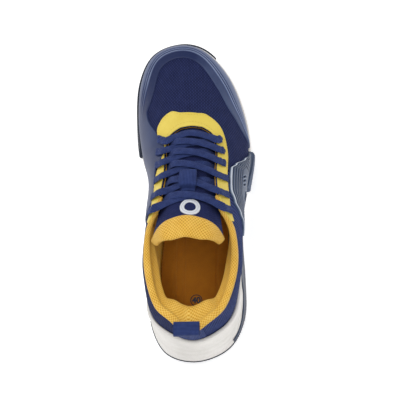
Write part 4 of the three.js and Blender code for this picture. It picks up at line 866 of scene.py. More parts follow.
u, v, t = patch(COLLAR_TO - STATIONS + SEAM, COLLAR_FROM - SEAM, nothing, edge, 160, 40)
depth = lining_outer(u, v)
dressed(shell("vamp_inner_lining", layer(u, v, depth), layer(u, v, depth + LINING_THICKNESS), inner_finish),
        "vamp_lining")

# %% [markdown]
# The sockliner is cut from foam with a cloth face. Faint lengthwise grooves are pressed in. A ring with the
# size number, 40 Paris points, is printed at the heel.
# %% Sockliner
BOARD, SOCKLINER, CLOTH = 1.3, 4.0, 0.7
cloth_low = GAP + BOARD + GAP + SOCKLINER + GAP


def footbed_edge(u, extra, height):
    """The footbed's outline at station u, inside the lining, at a height above the feather edge."""
    depth = lining_outer(u, 0 * u) + LINING_THICKNESS + GAP + extra
    point = layer(u, 0 * u, depth)
    point[..., 2] = face(u, 0 * u)[..., 2] + height
    return point


inner_u = (STATIONS / 2) * (0.5 - 0.5 * np.cos(np.pi * np.linspace(0.012, 0.988, 220)))[:, None]
w = np.linspace(0, 1, 90)[None, :]


def footbed_sheet(height, extra=0.5):
    """Straight lines from the inner edge to the outer edge of the footbed, station against station."""
    left, right = footbed_edge(inner_u, extra, height), footbed_edge(STATIONS - inner_u, extra, height)
    return left + (right - left) * w[..., None]


top = footbed_sheet(cloth_low + CLOTH)
across_mm = top[..., 0]
groove = sum(ridge(across_mm, at, 1.1) for at in (-17, -9, 19.5))
top[..., 2] -= 0.9 * groove * rounded(np.minimum(w, 1 - w), 0.1)
# The sockliner's cloth is the lining's yellow darkened to brown-orange: painted shade for the inside of the shoe.
sockliner_cloth_painted_shade = lining("sockliner_cloth", "8f5207", "b36c0e", "c98116", 1.1)
dressed(shell("sockliner_face", top, footbed_sheet(cloth_low), sockliner_cloth_painted_shade, uv=top[..., :2]),
        "sockliner_cloth")


def printed_number(name, words, height, centre, thickness, finish):
    """Flat figures made a mesh, laid on the footbed around `centre`."""
    curve = bpy.data.curves.new(name, "FONT")
    curve.body, curve.size, curve.extrude = words, height * MM * SCALE, thickness * MM
    curve.offset = height * 0.035 * MM  # a bolder stroke
    curve.align_x, curve.align_y = "CENTER", "CENTER"
    words_object = bpy.data.objects.new(name, curve)
    bpy.context.scene.collection.objects.link(words_object)
    bpy.context.view_layer.update()
    mesh = bpy.data.meshes.new_from_object(words_object.evaluated_get(bpy.context.evaluated_depsgraph_get()))
    bpy.data.objects.remove(words_object)
    mesh.transform(Matrix.Translation(Vector(world(centre))))
    mesh.materials.clear()
    mesh.materials.append(finish)
    piece = bpy.data.objects.new(name, mesh)
    bpy.context.scene.collection.objects.link(piece)
    return piece


print_finish = moulded("size_print", "1a1c26", "2e3140", 0.6)
SIZE_SPOT = np.array([1.6, -95.0, 0.0])
SIZE_SPOT[2] = np.interp(SIZE_SPOT[1], face(inner_u[:, 0], 0 * inner_u[:, 0])[:, 1],
                         face(inner_u[:, 0], 0 * inner_u[:, 0])[:, 2]) + cloth_low + CLOTH + 0.15
figures = printed_number("size_figures", "40", 7.4, SIZE_SPOT, 0.12, print_finish)
turn = np.linspace(0, 2 * np.pi, 65)[:-1, None]
section = np.array([[4.5, -0.12], [4.5, 0.12], [5.2, 0.12], [5.2, -0.12]])
ring_outer = SIZE_SPOT + np.stack([np.cos(turn) * section[None, :, 0], np.sin(turn) * section[None, :, 0],
                                   0 * turn + section[None, :, 1]], -1)


def closed_tube(name, grid, material, uv=None):
    """A ring of sections (N x K), joined round both ways."""
    n, k = grid.shape[:2]
    numbers = np.arange(n * k).reshape(n, k)
    a, b = numbers, np.roll(numbers, -1, 0)
    faces = np.stack([a, np.roll(a, -1, 1), np.roll(b, -1, 1), b], -1).reshape(-1, 4)
    points = grid.reshape(-1, 3)
    if volume(points, faces) < 0:
        faces = faces[:, ::-1]
    uv = np.zeros((n * k, 2)) if uv is None else uv.reshape(-1, 2)
    return mesh_piece(name, points, faces, uv, material)


size_ring = closed_tube("size_ring", ring_outer, print_finish)
for piece in (figures, size_ring):
    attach(piece, "shoe")

# %% [markdown]
# The tongue is a surface of its own: seven splines up its length, joined across by another spline. Its
# middle stands free over the instep, and its sides follow the upper from inside, under the lining and the
# lace.
# %% The tongue's face
LACE_WIDTH, LACE_THICKNESS = 6.4, 1.4
LACE_HALF = LACE_THICKNESS / 2


def lining_depth(u, v):
    padded = np.where(u < COLLAR_TO - STATIONS, padding(u, v) + GAP, 0)
    return padded + lining_outer(u, v) + LINING_THICKNESS


def under_lining(u, v):
    return lining_depth(u, v) + GAP + LACE_HALF + 0.3


TONGUE = [
    [[0, 60, 56.5], [10, 60, 55], [9.1, 0.88], [8.5, 0.84]],
    [[0, 45, 64.5], [12, 45, 62], [8.05, 1], [8, 0.86]],
    [[0, 28, 72.5], [12.5, 28, 69.8], [7.05, 1], [7, 0.86]],
    [[0, 4, 82.5], [13, 4, 79.2], [6.05, 1], [6, 0.86]],
    [[0, -15, 91.5], [13.5, -16, 87.8], [5.42, 1], [5.4, 0.86]],
    [[0, -28, 100], [14.5, -29, 96.3], [4.97, 1], [4.9, 0.89]],
    [[0, -40, 108], [15, -42.5, 103.5], [24, -46, 96.5], [29.5, -50, 88]],
]


def tongue_node(spot, sign):
    """A free point as it is, mirrored by sign; a [station, share] pair as a point under the upper and lace."""
    if len(spot) == 3:
        return np.array([sign * spot[0], spot[1], spot[2]], float)
    u, v = np.array(spot, float)
    point = layer(u, v, under_lining(u, v) + LACE_HALF + GAP + 0.8)
    return np.array([sign * abs(point[0]), point[1], point[2]])


columns = [(3, -1), (2, -1), (1, -1), (0, 1), (1, 1), (2, 1), (3, 1)]
TONGUE_KNOTS = np.array([[tongue_node(row[k], sign) for row in TONGUE] for k, sign in columns])


def tongue_face(s, w):
    """Share s up the tongue and w from -1 to 1 across it: seven splines in s, then one in w."""
    s, w = np.broadcast_arrays(np.asarray(s, float), np.asarray(w, float))
    lines = np.stack([spline(knots, s) for knots in TONGUE_KNOTS])
    return spline(lines, (np.clip(w, -1, 1) + 1) / 2)


def tongue_point(s, w, depth=0.0, beyond=0.0):
    """A point `depth` under the tongue's face and `beyond` past it along its length."""
    s, w = np.broadcast_arrays(np.asarray(s, float), np.asarray(w, float))
    cs, cw = np.clip(s, STEP, 1 - STEP), np.clip(w, STEP - 1, 1 - STEP)
    along = unit(tongue_face(cs + STEP, cw) - tongue_face(cs - STEP, cw))
    across = unit(tongue_face(cs, cw + STEP) - tongue_face(cs, cw - STEP))
    out = unit(np.cross(along, across))
    out = out * np.where(out[..., 2:] < 0, -1, 1)
    depth, beyond = (np.asarray(x, float)[..., None] for x in (depth, beyond))
    return tongue_face(s, w) - out * depth + along * beyond


print("tongue's top", tongue_face(1.0, 0.0))

# %% [markdown]
# The knit face ends in a shallow arc. Behind it a soft pad rises: the lining runs up the inner side, round
# a fat roll at the free end and back to the face. The pad is thin below the flexing line and thick above it.
# %% Tongue pieces
TONGUE_SKIN, TONGUE_PAD, TONGUE_HINGE = 1.2, 7.5, 0.83


def tongue_pad(s, w):
    thick = 1.2 + (TONGUE_PAD - 1.2) * smooth(s, TONGUE_HINGE - 0.1, TONGUE_HINGE + 0.14)
    return thick * (1 - 0.45 * w * w)


TONGUE_ROLL, TONGUE_EAR = 18.0, 3.0  # how far the pad stands past the face, in the middle and at its corners
across = np.linspace(-1, 1, 120)[None, :]
up = np.linspace(0.02, 1, 150)[:, None]


def face_end(s, w):
    """The knit face stretches back at its sides and stops short in the middle, in an arch."""
    return smooth(s, 0.7, 1.0) * (5.5 * w ** 4 - 1.2 * (1 - w * w))


margin = rounded(np.minimum(1 - np.abs(across), 1 - up) * 30, 1.0)
knit_top = tongue_point(up, across, 0.55 * (1 - margin), face_end(up, across))
tongue_knit = shell("tongue_knit_face", knit_top, tongue_point(up, across, TONGUE_SKIN, face_end(up, across)),
                    tongue_finish,
                    uv=np.stack([knit_top[..., 0], lengths(knit_top, 0)[:, None] + 0 * knit_top[..., 0]], -1))

thick = tongue_pad(up, across)
belly = tongue_point(up, across, TONGUE_SKIN + 0.1 + thick + 0.9, face_end(up, across))
angle = np.linspace(0, np.pi, 40)[1:, None]
half = (TONGUE_SKIN + thick[-1:] + 0.9) / 2
roll_depth = half + half * np.cos(angle) + 1.2 * np.sin(angle) - 0.6 * smooth(angle, 2.2, np.pi)
roll_reach = (TONGUE_EAR + (TONGUE_ROLL - TONGUE_EAR) * (1 - across ** 2)) * np.sin(angle) ** 0.8
roll = tongue_point(1 + 0 * angle, across + 0 * angle, roll_depth, roll_reach + face_end(1.0, across))
tuck = np.linspace(0, 1, 10)[1:, None]
roof = tongue_point(1 - 0.05 * tuck, across + 0 * tuck, -0.6 + 1.7 * tuck, face_end(1 - 0.05 * tuck, across))
lining_face = np.concatenate([belly, roll, roof])
inside = np.concatenate([tongue_point(up, across, TONGUE_SKIN + 0.15, face_end(up, across)),
                         tongue_point(1 + 0 * angle, across + 0 * angle, TONGUE_SKIN + 0.15 + 0 * angle,
                                      face_end(1.0, across)),
                         tongue_point(1 - 0.05 * tuck, across + 0 * tuck, TONGUE_SKIN + 0.1,
                                      face_end(1 - 0.05 * tuck, across))])
tongue_pad_piece = shell("tongue_padded_lining", lining_face, inside, tongue_lining_finish)
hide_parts("tongue_panel", "tongue_head")
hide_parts("tongue_panel_lining", "tongue_head_lining", "tongue_panel_foam",
            "tongue_head_foam")
for piece in (tongue_knit, tongue_pad_piece):
    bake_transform(piece)

# %% Badge
BADGE_S, BADGE_X, BADGE_OUTER, BADGE_INNER = 0.85, 3.0, 8.8, 4.9
FACE_WIDTH, FACE_LENGTH = 48.0, 78.0  # millimetres for a whole w and a whole s near the badge
r = (BADGE_INNER + (BADGE_OUTER - BADGE_INNER) * spread(22, 0.7))[:, None]
a = np.linspace(0, 2 * np.pi, 73)[None, :]
pad_x, pad_s = (BADGE_X + r * np.cos(a)) / FACE_WIDTH, BADGE_S + r * np.sin(a) / FACE_LENGTH
from_edge = np.minimum(r - BADGE_INNER, BADGE_OUTER - r)
relief = 0.8 * rounded(from_edge, 0.7) - 0.3 * smooth(from_edge, 1.5, 1.9)
raised, under = tongue_point(pad_s, pad_x, -0.1 - relief), tongue_point(pad_s, pad_x, 0.1)
badge = shell("tongue_label_ring", raised, under, label_finish)
tone_values = 0.9 - 0.45 * smooth(from_edge, 1.5, 1.9) + 0 * a
toned(badge, tone_values)
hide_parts("tongue_badge")
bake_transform(badge)

# %% [markdown]
# The lace is one flat band, carried along a smooth path. A band needs a direction for its width as well as
# a path, so every knot has both. The path is a centripetal spline, which never overshoots between close
# knots.
# %% Bands along a path
def centripetal(knots, samples):
    """Centripetal Catmull-Rom through the knots, resampled so that the samples lie evenly along it."""
    knots = np.asarray(knots, float)
    ends = np.concatenate([2 * knots[:1] - knots[1:2], knots, 2 * knots[-1:] - knots[-2:-1]])
    gaps = np.maximum(np.linalg.norm(np.diff(ends, axis=0), axis=1) ** 0.5, 1e-4)
    t = np.linspace(0, len(knots) - 1, 600)
    i = np.minimum(t.astype(int), len(knots) - 2)
    w = (t - i)[:, None]
    a, b, c, d = (ends[i + k] for k in range(4))
    ga, gb, gc = (gaps[i + k][:, None] for k in range(3))
    m1 = gb * ((b - a) / ga - (c - a) / (ga + gb) + (c - b) / gb)
    m2 = gb * ((c - b) / gb - (d - b) / (gb + gc) + (d - c) / gc)
    points = b + w * m1 + w ** 2 * (3 * (c - b) - 2 * m1 - m2) + w ** 3 * (2 * (b - c) + m1 + m2)
    distance = np.concatenate([[0], np.cumsum(np.linalg.norm(np.diff(points, axis=0), axis=1))])
    even = np.linspace(0, distance[-1], samples)
    line = np.stack([np.interp(even, distance, points[:, k]) for k in range(3)], -1)
    return line, np.interp(even, distance, t), distance[-1]


def band(name, knots, sides, width, thickness, material, samples=90, crown=0.25, tip=0.0):
    """A flat band with rounded edges: an oval section, `width` by `thickness`, swept along the knots' spline.
    The sides give the direction of the width at each knot. The band's ends are drawn in by `tip` mm."""
    line, t, length = centripetal(knots, samples)
    sides = np.asarray(sides, float)
    i = np.minimum(t.astype(int), len(sides) - 2)
    side = sides[i] + (sides[i + 1] - sides[i]) * (t - i)[:, None]
    along = unit(np.gradient(line, axis=0))
    side = unit(side - along * np.einsum("ij,ij->i", side, along)[:, None])
    upward = np.cross(side, along)
    angle = np.linspace(0, 2 * np.pi, 29)[:-1]
    x = np.sign(np.cos(angle)) * np.abs(np.cos(angle)) ** 0.75
    z = np.sign(np.sin(angle)) * np.abs(np.sin(angle)) ** 0.6
    share = np.linspace(0, 1, samples)
    half = np.array([width(k) for k in share]) / 2
    from_end = np.minimum(share, 1 - share) * length
    taper = 0.35 + 0.65 * rounded(from_end, 1.2) if tip else 1 + 0 * from_end
    grid = line[:, None] + side[:, None] * (half[:, None] * x * taper[:, None])[..., None] \
        + upward[:, None] * (thickness / 2 * z * (1 + crown * (1 - x ** 2)) * taper[:, None])[..., None]
    rows, k = grid.shape[:2]
    points = np.concatenate([grid.reshape(-1, 3), line[[0, -1]]])
    numbers = np.arange(rows * k).reshape(rows, k)
    a, b = numbers[:-1], numbers[1:]
    faces = np.stack([a, np.roll(a, -1, 1), np.roll(b, -1, 1), b], -1).reshape(-1, 4)
    caps = [(numbers[0], rows * k), (numbers[-1][::-1], rows * k + 1)]
    triangles = [np.stack([np.roll(ring, -1), ring, 0 * ring + centre], -1) for ring, centre in caps]
    padded = np.concatenate([triangles[0][:, [0, 1, 2, 2]], triangles[1][:, [0, 1, 2, 2]]])
    every = np.concatenate([faces, padded])
    if volume(points, every) < 0:
        every = every[:, ::-1]
    corners = [tuple(dict.fromkeys(f)) for f in every.tolist()]
    uv = np.stack(np.broadcast_arrays((share * length)[:, None], half[:, None] * x), -1).reshape(-1, 2)
    piece = mesh_piece(name, points, corners, np.concatenate([uv, [[0, 0], [length, 0]]]), material)
    return piece, line, length


# %% Where the lace goes
EYELET_U = [7.58, 7.03, 6.5, 5.93, 5.36, 4.82]
EYELET_V = [0.92, 0.91, 0.9, 0.89, 0.89, 0.9]
EYELET_DIAMETER = 4.8
OVER_EYESTAY = 0.65 + 0.9 + GAP + LACE_HALF
UP_TONGUE = unit(tongue_face(0.6, 0.0) - tongue_face(0.3, 0.0))
NARROW = EYELET_DIAMETER * 0.72


def over_tongue(x, reach, above):
    """The point at x across and `reach` up the tongue's slope, `above` its face: halving in s inside halving
    in w, for all the points at once."""
    x, reach, above = np.broadcast_arrays(*(np.asarray(value, float) for value in (x, reach, above)))

    def climb(w):
        low, high = 0 * w, 0 * w + 1
        for _ in range(14):
            middle = (low + high) / 2
            short = tongue_face(middle, w) @ UP_TONGUE < reach
            low, high = np.where(short, middle, low), np.where(short, high, middle)
        return low
    left, right = 0 * x - 1, 0 * x + 1
    for _ in range(14):
        middle = (left + right) / 2
        short = tongue_face(climb(middle), middle)[..., 0] < x
        left, right = np.where(short, middle, left), np.where(short, right, middle)
    return tongue_point(climb(left), left, -above)


def upper_knot(side, u, v, depth, lift=0.0):
    """A knot on or under the upper; the lace's width lies along the row of eyelets there."""
    at = u if side < 0 else STATIONS - u
    row = unit(face(at + STEP, v) - face(at - STEP, v)) * -side
    return layer(np.float64(at), np.float64(v), depth, 0, lift), row


def tongue_knot(x, reach, above):
    return over_tongue(x, reach, above), -UP_TONGUE


def eyelet(side, i, depth):
    return upper_knot(side, EYELET_U[i], EYELET_V[i], depth)


SHORTER = [0.05, 0.05, 0.04, 0.015, 0.02, 0.01]  # how much sooner each lace goes down on the outer side


def lace_end(side, i):
    return EYELET_U[i], EYELET_V[i] + (SHORTER[i] if side > 0 else 0)


def approach(side, i):
    """Over the eyestay from the throat's edge to just past eyelet i."""
    u, v = lace_end(side, i)
    lift = 2.6 if u < COLLAR_TO - STATIONS + 0.1 else 1.2
    return [upper_knot(side, u + 0.02, 1.0, -OVER_EYESTAY - 1.2, lift),
            upper_knot(side, u + 0.01, max(0.975, v + 0.03), -OVER_EYESTAY - 1.0),
            upper_knot(side, u, v + 0.02, -OVER_EYESTAY - 0.2),
            upper_knot(side, u, v - 0.02, -OVER_EYESTAY + 0.1)]


def into_eyelet(side, i):
    u, v = lace_end(side, i)
    return [upper_knot(side, u, v - 0.045, -0.6), upper_knot(side, u, v - 0.05, 1.6)]


print("first eyelet", eyelet(-1, 0, 0.0)[0], "last", eyelet(-1, 5, 0.0)[0])

# %% Laces
CROSS_LOW = GAP + LACE_HALF + 0.8
CROSS_STEP = LACE_THICKNESS + 1.1


def lace_piece(name, knots, node, width, samples=90):
    piece, line, length = band(name, [k[0] for k in knots], [k[1] for k in knots], width, LACE_THICKNESS,
                               lace_finish, samples)
    if node:
        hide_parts(*node.split())
    return piece, line, length


def lace_run(side, i):
    """From eyelet i, under the lining to the throat, beside the tongue, across it and down to eyelet i + 1."""
    u, v = EYELET_U[i], EYELET_V[i]
    start = [eyelet(side, i, -OVER_EYESTAY + LACE_HALF + GAP), eyelet(side, i, under_lining(u, v)),
             upper_knot(side, u - 0.05, 0.965, under_lining(u - 0.05, 0.965)),
             upper_knot(side, u - 0.09, 1.0, under_lining(u - 0.09, 1.0), 1)]
    rise = CROSS_STEP if side < 0 else 0
    end = approach(-side, i + 1)
    come, go = start[-1][0], end[0][0]

    def at(share, above):
        return tongue_knot(come[0] + (go[0] - come[0]) * share,
                           come @ UP_TONGUE + (go - come) @ UP_TONGUE * share, above)
    middle = [at(0.1, CROSS_LOW + rise * 0.3), at(0.2, CROSS_LOW + rise * 0.8), at(0.5, CROSS_LOW + rise),
              at(0.74, CROSS_LOW + rise + 0.6)]
    return start + middle + end + into_eyelet(-side, i + 1)


def run_width(share):
    narrow_in = smooth(share, 0.08, 0.2)
    narrow_out = 1 - smooth(share, 0.96, 1.0) * 0.2
    return (NARROW + (LACE_WIDTH + 0.5 - NARROW) * narrow_in) * narrow_out


for i in range(len(EYELET_U) - 1):
    for side, way in ((-1, "medial"), (1, "lateral")):
        piece, line, length = lace_piece(f"lace_{'inner' if side < 0 else 'outer'}_{i + 1}", lace_run(side, i),
                                         f"lace_run_{way}_{i + 1}", run_width)
        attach(piece, "shoe")

ends = [approach(-1, 0), approach(1, 0)]
reach = ends[0][0][0] @ UP_TONGUE
middle = [tongue_knot(x, reach - forward, above) for x, forward, above in ((-13, 3, 4.6), (0, 5.5, 3.8),
                                                                            (13, 3, 4.6))]
bar = into_eyelet(-1, 0)[::-1] + ends[0][::-1] + middle + ends[1] + into_eyelet(1, 0)
bar_width = lambda share: (LACE_WIDTH + 0.5) * (1 - 0.2 * (1 - smooth(min(share, 1 - share), 0, 0.06)))
piece, line, length = lace_piece("lace_front_bar", bar, "lace_bar", bar_width)
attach(piece, "shoe")
print("lace bar", round(length, 1), "mm")

# %% [markdown]
# The two free ends of the lace are cords of a real length. Each drops through the last eyelet, hangs down
# inside the shoe and lies forward on the sockliner, out of the way, with its aglet pointing at the toe.
# %% Lace tails
TAIL_DROP = [[0.8, 0.6], [0.66, 1.4], [0.5, 4]]
TAIL_LEAN = 0.11
TAIL_HANG = [[-24, -12, 42], [-20, 0, 29]]
TAIL_REST = [[-18, 12], [-17, 26], [-19, 42], [-22, 58]]
TAIL_TIP = [-24, 78]


def on_sockliner(x, y):
    u = np.linspace(0, STATIONS / 2, 2000)
    low = face(u, 0 * u)
    z = np.interp(y, low[:, 1], low[:, 2])
    return np.array([x, y, z + cloth_low + CLOTH + GAP + LACE_HALF + 0.4])


for side, way in ((-1, "medial"), (1, "lateral")):
    last = len(EYELET_U) - 1
    u, v = EYELET_U[last], EYELET_V[last]
    lying = np.array([1.0, 0, 0])
    knots = [eyelet(side, last, -OVER_EYESTAY + LACE_HALF + GAP), eyelet(side, last, under_lining(u, v))]
    knots += [upper_knot(side, u + TAIL_LEAN * (k + 1), share, under_lining(u, share) + away)
              for k, (share, away) in enumerate(TAIL_DROP)]
    knots += [(np.array([-side * x, y, z], float), lying) for x, y, z in TAIL_HANG]
    knots += [(on_sockliner(-side * x, y), lying) for x, y in TAIL_REST]
    width = lambda share: (NARROW + (LACE_WIDTH - NARROW) * smooth(share, 0.06, 0.16)) \
        * (1 - 0.6 * smooth(share, 0.93, 1))
    piece, line, length = lace_piece(f"lace_end_{way}", knots, f"lace_tail_{way}", width, 140)
    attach(piece, "shoe")
    end = line[-1]
    tip = on_sockliner(-side * TAIL_TIP[0], TAIL_TIP[1])
    aim_way = unit(tip - end)
    reach_mm = np.array([0.0, 0.0, 0.4, 1.2, 4.0, 20.0, 21.4, 22.0, 22.0])
    sideways = unit(np.cross(aim_way, [0, 0, 1]))
    middle = end + [0, 0, 0.8] + aim_way * (reach_mm[:, None] + 0.3)
    aglet, _, _ = band(f"aglet_{way}_tip", middle[1:-1], np.tile(sideways, (7, 1)), lambda share: 3.0, 3.0,
                       tip_finish, 30, 0.0, 1.0)
    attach(aglet, "shoe")
    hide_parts(f"aglet_{way}")
    path = world(line[np.linspace(0, len(line) - 1, 32).astype(int)])
    print("lace end", way, round(length, 1), "mm")

# %% [markdown]
# A strip of webbing is stitched to the tongue at both ends so that the lace passes under it and holds the
# tongue in place. The heel has webbing too: a patch stitched down the back, and a loop at the top to pull
# the shoe on.
# %% Keeper
KEEPER_WIDTH, KEEPER_THICKNESS = 12.0, 0.9
KEEPER_FRONT, KEEPER_BACK = 5.8, -10.0
KEEPER_TOP = CROSS_LOW + CROSS_STEP + LACE_HALF + 0.5 + KEEPER_THICKNESS


def tongue_reach(y):
    s = np.linspace(0, 1, 400)
    line = tongue_face(s, 0 * s)
    return np.interp(-y, -line[:, 1], line @ UP_TONGUE)


def strip(name, rows_outer, rows_inner, material, node):
    piece = shell(name, rows_outer, rows_inner, material)
    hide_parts(node)
    return piece


profile = np.array([[KEEPER_FRONT + 2.6, 0.25], [KEEPER_FRONT + 1.0, 0.5], [KEEPER_FRONT + 0.4, 1.6],
                    [KEEPER_FRONT, KEEPER_TOP - 1.8], [KEEPER_FRONT - 1.2, KEEPER_TOP - 0.4],
                    [KEEPER_FRONT - 3.4, KEEPER_TOP + 0.2], [-2, KEEPER_TOP + 0.5], [KEEPER_BACK + 3.4, KEEPER_TOP + 0.2],
                    [KEEPER_BACK + 1.2, KEEPER_TOP - 0.4], [KEEPER_BACK, KEEPER_TOP - 1.8],
                    [KEEPER_BACK - 0.4, 1.6], [KEEPER_BACK - 1.0, 0.5], [KEEPER_BACK - 2.6, 0.25]])
curve = spline(np.concatenate([profile, 0 * profile[:, :1]], 1), np.linspace(0, 1, 70))
slope = unit(np.gradient(curve[:, :2], axis=0))
inner_curve = curve[:, :2] + np.stack([-slope[:, 1], slope[:, 0]], -1) * KEEPER_THICKNESS
inner_curve[:, 1] = np.maximum(inner_curve[:, 1], 0.1)
inner_curve[:, 0] = np.clip(inner_curve[:, 0], KEEPER_BACK - 2.6, KEEPER_FRONT + 2.6)
across_keeper = np.linspace(-1, 1, 13)


def keeper_rows(points):
    y, above = points.T
    return over_tongue(across_keeper[:, None] * KEEPER_WIDTH / 2, tongue_reach(y)[None, :], above[None, :])


keeper = strip("lace_keeper_webbing", keeper_rows(curve[:, :2]), keeper_rows(inner_curve), webbing_finish,
               "lace_keeper")
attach(keeper, "shoe")

# %% Heel anchor and pull loop
LOOP_WIDTH, LOOP_THICKNESS, ANCHOR_LIFT, LOOP_CLEARANCE = 21.0, 1.3, 1.0, 2.0
k = np.linspace(-1, 1, 60)[:, None]
climb = np.linspace(0.36, 1, 60)[None, :]
u_anchor = k * (LOOP_WIDTH / 2 - 1) / 19 + 0 * climb
flat = layer(u_anchor, climb + 0 * k, -0.2)
start, end, low, high = edge_distances(flat)
shape = rounded(start, 0.8) * rounded(end, 0.8) * rounded(low, 0.8)
panel = 0.5 * smooth(np.minimum(np.minimum(start, end), low), 2.0, 2.8)
anchor = strip("heel_anchor_webbing", layer(u_anchor, climb + 0 * k, -0.2 - FEATHER - (1.1 - panel * 0.35) * shape,
                                            0, ANCHOR_LIFT * smooth(climb, 0.9, 1) + 0 * k), flat, webbing_finish,
               "heel_loop_anchor")
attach(anchor, "shoe")

heel_top = layer(np.float64(0), np.float64(1), -0.65 - LOOP_THICKNESS / 2, 0, ANCHOR_LIFT)
PIVOT_Y = heel_top[1]
PIVOT_Z = face(0.0, 1.0)[2] + TURN_GAP + 1.2 + GAP + LOOP_CLEARANCE
RISE = 4.6 + LOOP_THICKNESS
bend = RISE / 2
flat_run = 11 - bend - LOOP_THICKNESS / 2
front_turn = [(flat_run, a) for a in np.linspace(-np.pi / 2, np.pi / 2, 22)]
back_turn = [(0.0, a) for a in np.linspace(np.pi / 2, 3 * np.pi / 2, 18)]
top_run = [(y, np.pi / 2) for y in np.linspace(flat_run, 0, 9)[1:-1]]
low_run = [(y, -np.pi / 2) for y in np.linspace(0, flat_run, 9)[1:-1]]
path = np.array(front_turn + top_run + back_turn + low_run)


def loop_rows(grow):
    y = path[:, 0] + np.cos(path[:, 1]) * (bend + grow)
    y = PIVOT_Y + np.where(y < 0, y * 0.3, y)
    z = PIVOT_Z + LOOP_THICKNESS / 2 + bend + np.sin(path[:, 1]) * (bend + grow)
    x = np.linspace(-0.5, 0.5, 24) * LOOP_WIDTH
    return np.stack([x + 0 * y[:, None], y[:, None] + 0 * x, z[:, None] + 0 * x], -1)


loop = shell("heel_pull_webbing", loop_rows(LOOP_THICKNESS / 2), loop_rows(-LOOP_THICKNESS / 2),
             webbing_finish, wrap=True)
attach(loop, "heel_loop")
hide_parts("heel_pull_loop")

# %% [markdown]
# Stitches are short threads laid end to end along a seam. One stitch is a flattened, tapered bead of a few
# dozen faces; a whole row is one mesh, with every stitch turned along its own piece of the seam.
# %% Stitches
def stitches(name, line, normals, length, spacing, width, finish, body="shoe"):
    """Beads of `length` every `spacing` mm along a line, flat on the surface that the normals stand on."""
    distance = np.concatenate([[0], np.cumsum(np.linalg.norm(np.diff(line, axis=0), axis=1))])
    centres = np.arange(spacing / 2, distance[-1], spacing)
    ends = [np.stack([np.interp(np.clip(centres + d, 0, distance[-1]), distance, line[:, k])
                      for k in range(3)], -1)
            for d in (-length / 2, length / 2)]
    normal = unit(np.stack([np.interp(centres, distance, normals[:, k]) for k in range(3)], -1))
    along = unit(ends[1] - ends[0])
    side = np.cross(normal, along)
    place = np.array([-1, -0.7, 0, 0.7, 1])
    size = np.array([0.25, 0.8, 1, 0.8, 0.25])
    angle = np.linspace(0, 2 * np.pi, 7)[:-1]
    middle = (ends[0] + ends[1]) / 2
    grid = middle[:, None, None] + along[:, None, None] * (place * length / 2)[None, :, None, None] \
        + (side[:, None, None] * np.cos(angle)[None, None, :, None]
           + normal[:, None, None] * (0.75 * np.sin(angle)[None, None, :, None])) \
        * (size * width / 2)[None, :, None, None] \
        - normal[:, None, None] * (0.12 * place ** 2)[None, :, None, None]
    count, rings, k = grid.shape[:3]
    numbers = np.arange(count * rings * k).reshape(count, rings, k)
    a, b = numbers[:, :-1], numbers[:, 1:]
    faces = np.stack([a, np.roll(a, -1, 2), np.roll(b, -1, 2), b], -1).reshape(-1, 4).tolist()
    caps = numbers[:, 0][:, ::-1].tolist() + numbers[:, -1].tolist()
    points = grid.reshape(-1, 3)
    if volume(points, np.array(faces)) < 0:
        faces, caps = [f[::-1] for f in faces], [f[::-1] for f in caps]
    piece = mesh_piece(name, points, faces + caps, np.zeros((len(points), 2)), finish)
    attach(piece, body)
    return piece


def seam_on_upper(name, u, v, depth, finish, spacing=2.6):
    point, up, out, inward = directions(u, v)
    return stitches(name, layer(u, v, depth), out, spacing * 0.72, spacing, 0.55, finish)


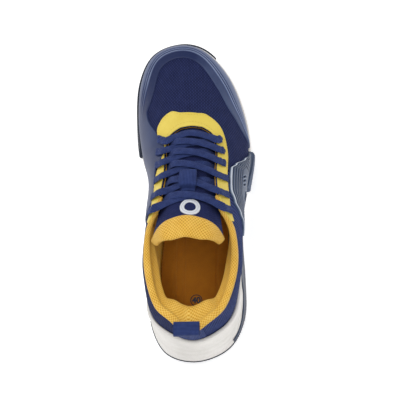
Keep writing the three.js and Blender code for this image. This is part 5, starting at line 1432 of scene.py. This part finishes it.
u_line = np.linspace(4.6, 17.4, 500)
v_line = eased(EYESTAY_EDGE, u_line)
seam_on_upper("eyestay_outer_stitching", u_line, v_line + 0.014, -1.1, thread_finish)
seam_on_upper("throat_stitching", np.linspace(5.0, 17.0, 400), 0 * np.linspace(5.0, 17.0, 400) + 0.975, -1.1,
              thread_finish)
for k_side, name in ((-0.78, "left"), (0.78, "right")):
    v_up = np.linspace(0.4, 0.98, 160)
    u_side = 0 * v_up + k_side * (LOOP_WIDTH / 2 - 1) / 19
    seam_on_upper(f"anchor_{name}_stitching", u_side, v_up, -1.45, navy_thread_finish)

# %% [markdown]
# Pieces of the CAD model that are already right, or that are sealed inside, keep their meshes and get a
# finish.
# %% Finishes on the carried-over parts
KEPT = {"outsole_forefoot": rubber_finish, "outsole_heel": rubber_finish, "midfoot_shank": shank_finish,
        "toe_puff": board_finish, "heel_counter": board_finish, "strobel_board": board_finish,
        "sockliner_foam": stuffing_finish}
for node, finish in KEPT.items():
    kept = bpy.data.objects[node]
    kept.data.materials.clear()
    kept.data.materials.append(finish)
print("carried over", len(KEPT), "parts")

# %% [markdown]
# A pale floor, one broad light high on the left and a softer one on the right, as in a product studio.
# %% Floor and lights
bpy.ops.mesh.primitive_plane_add(size=6, location=(0, 0, 0))
floor = bpy.context.object
floor.name = "studio_floor"
floor_finish = bpy.data.materials.new("studio_floor_paint")
floor_finish.use_nodes = True
floor_shader = floor_finish.node_tree.nodes["Principled BSDF"]
floor_shader.inputs["Base Color"].default_value = (0.93, 0.93, 0.93, 1)
floor_shader.inputs["Roughness"].default_value = 0.9
floor_shader.inputs["Emission Color"].default_value = (1, 1, 1, 1)
floor_shader.inputs["Emission Strength"].default_value = 0.5
floor.data.materials.append(floor_finish)

studio = bpy.data.worlds.new("studio")
bpy.context.scene.world = studio
studio.use_nodes = True
studio.node_tree.nodes["Background"].inputs[0].default_value = (1, 1, 1, 1)
studio.node_tree.nodes["Background"].inputs[1].default_value = 0.4
for name, spot, size, power in (("key", (-0.7, 0.5, 1.5), 1.0, 13.0), ("fill", (0.9, -0.3, 1.2), 1.4, 5.0),
                                ("top", (0.0, -0.8, 1.6), 1.2, 6.0)):
    lamp = bpy.data.lights.new(name, "AREA")
    lamp.energy, lamp.size = power, size
    holder = bpy.data.objects.new(name, lamp)
    bpy.context.scene.collection.objects.link(holder)
    holder.location = spot
    holder.rotation_euler = (Vector((0, 0, 0.04)) - Vector(spot)).to_track_quat("-Z", "Y").to_euler()
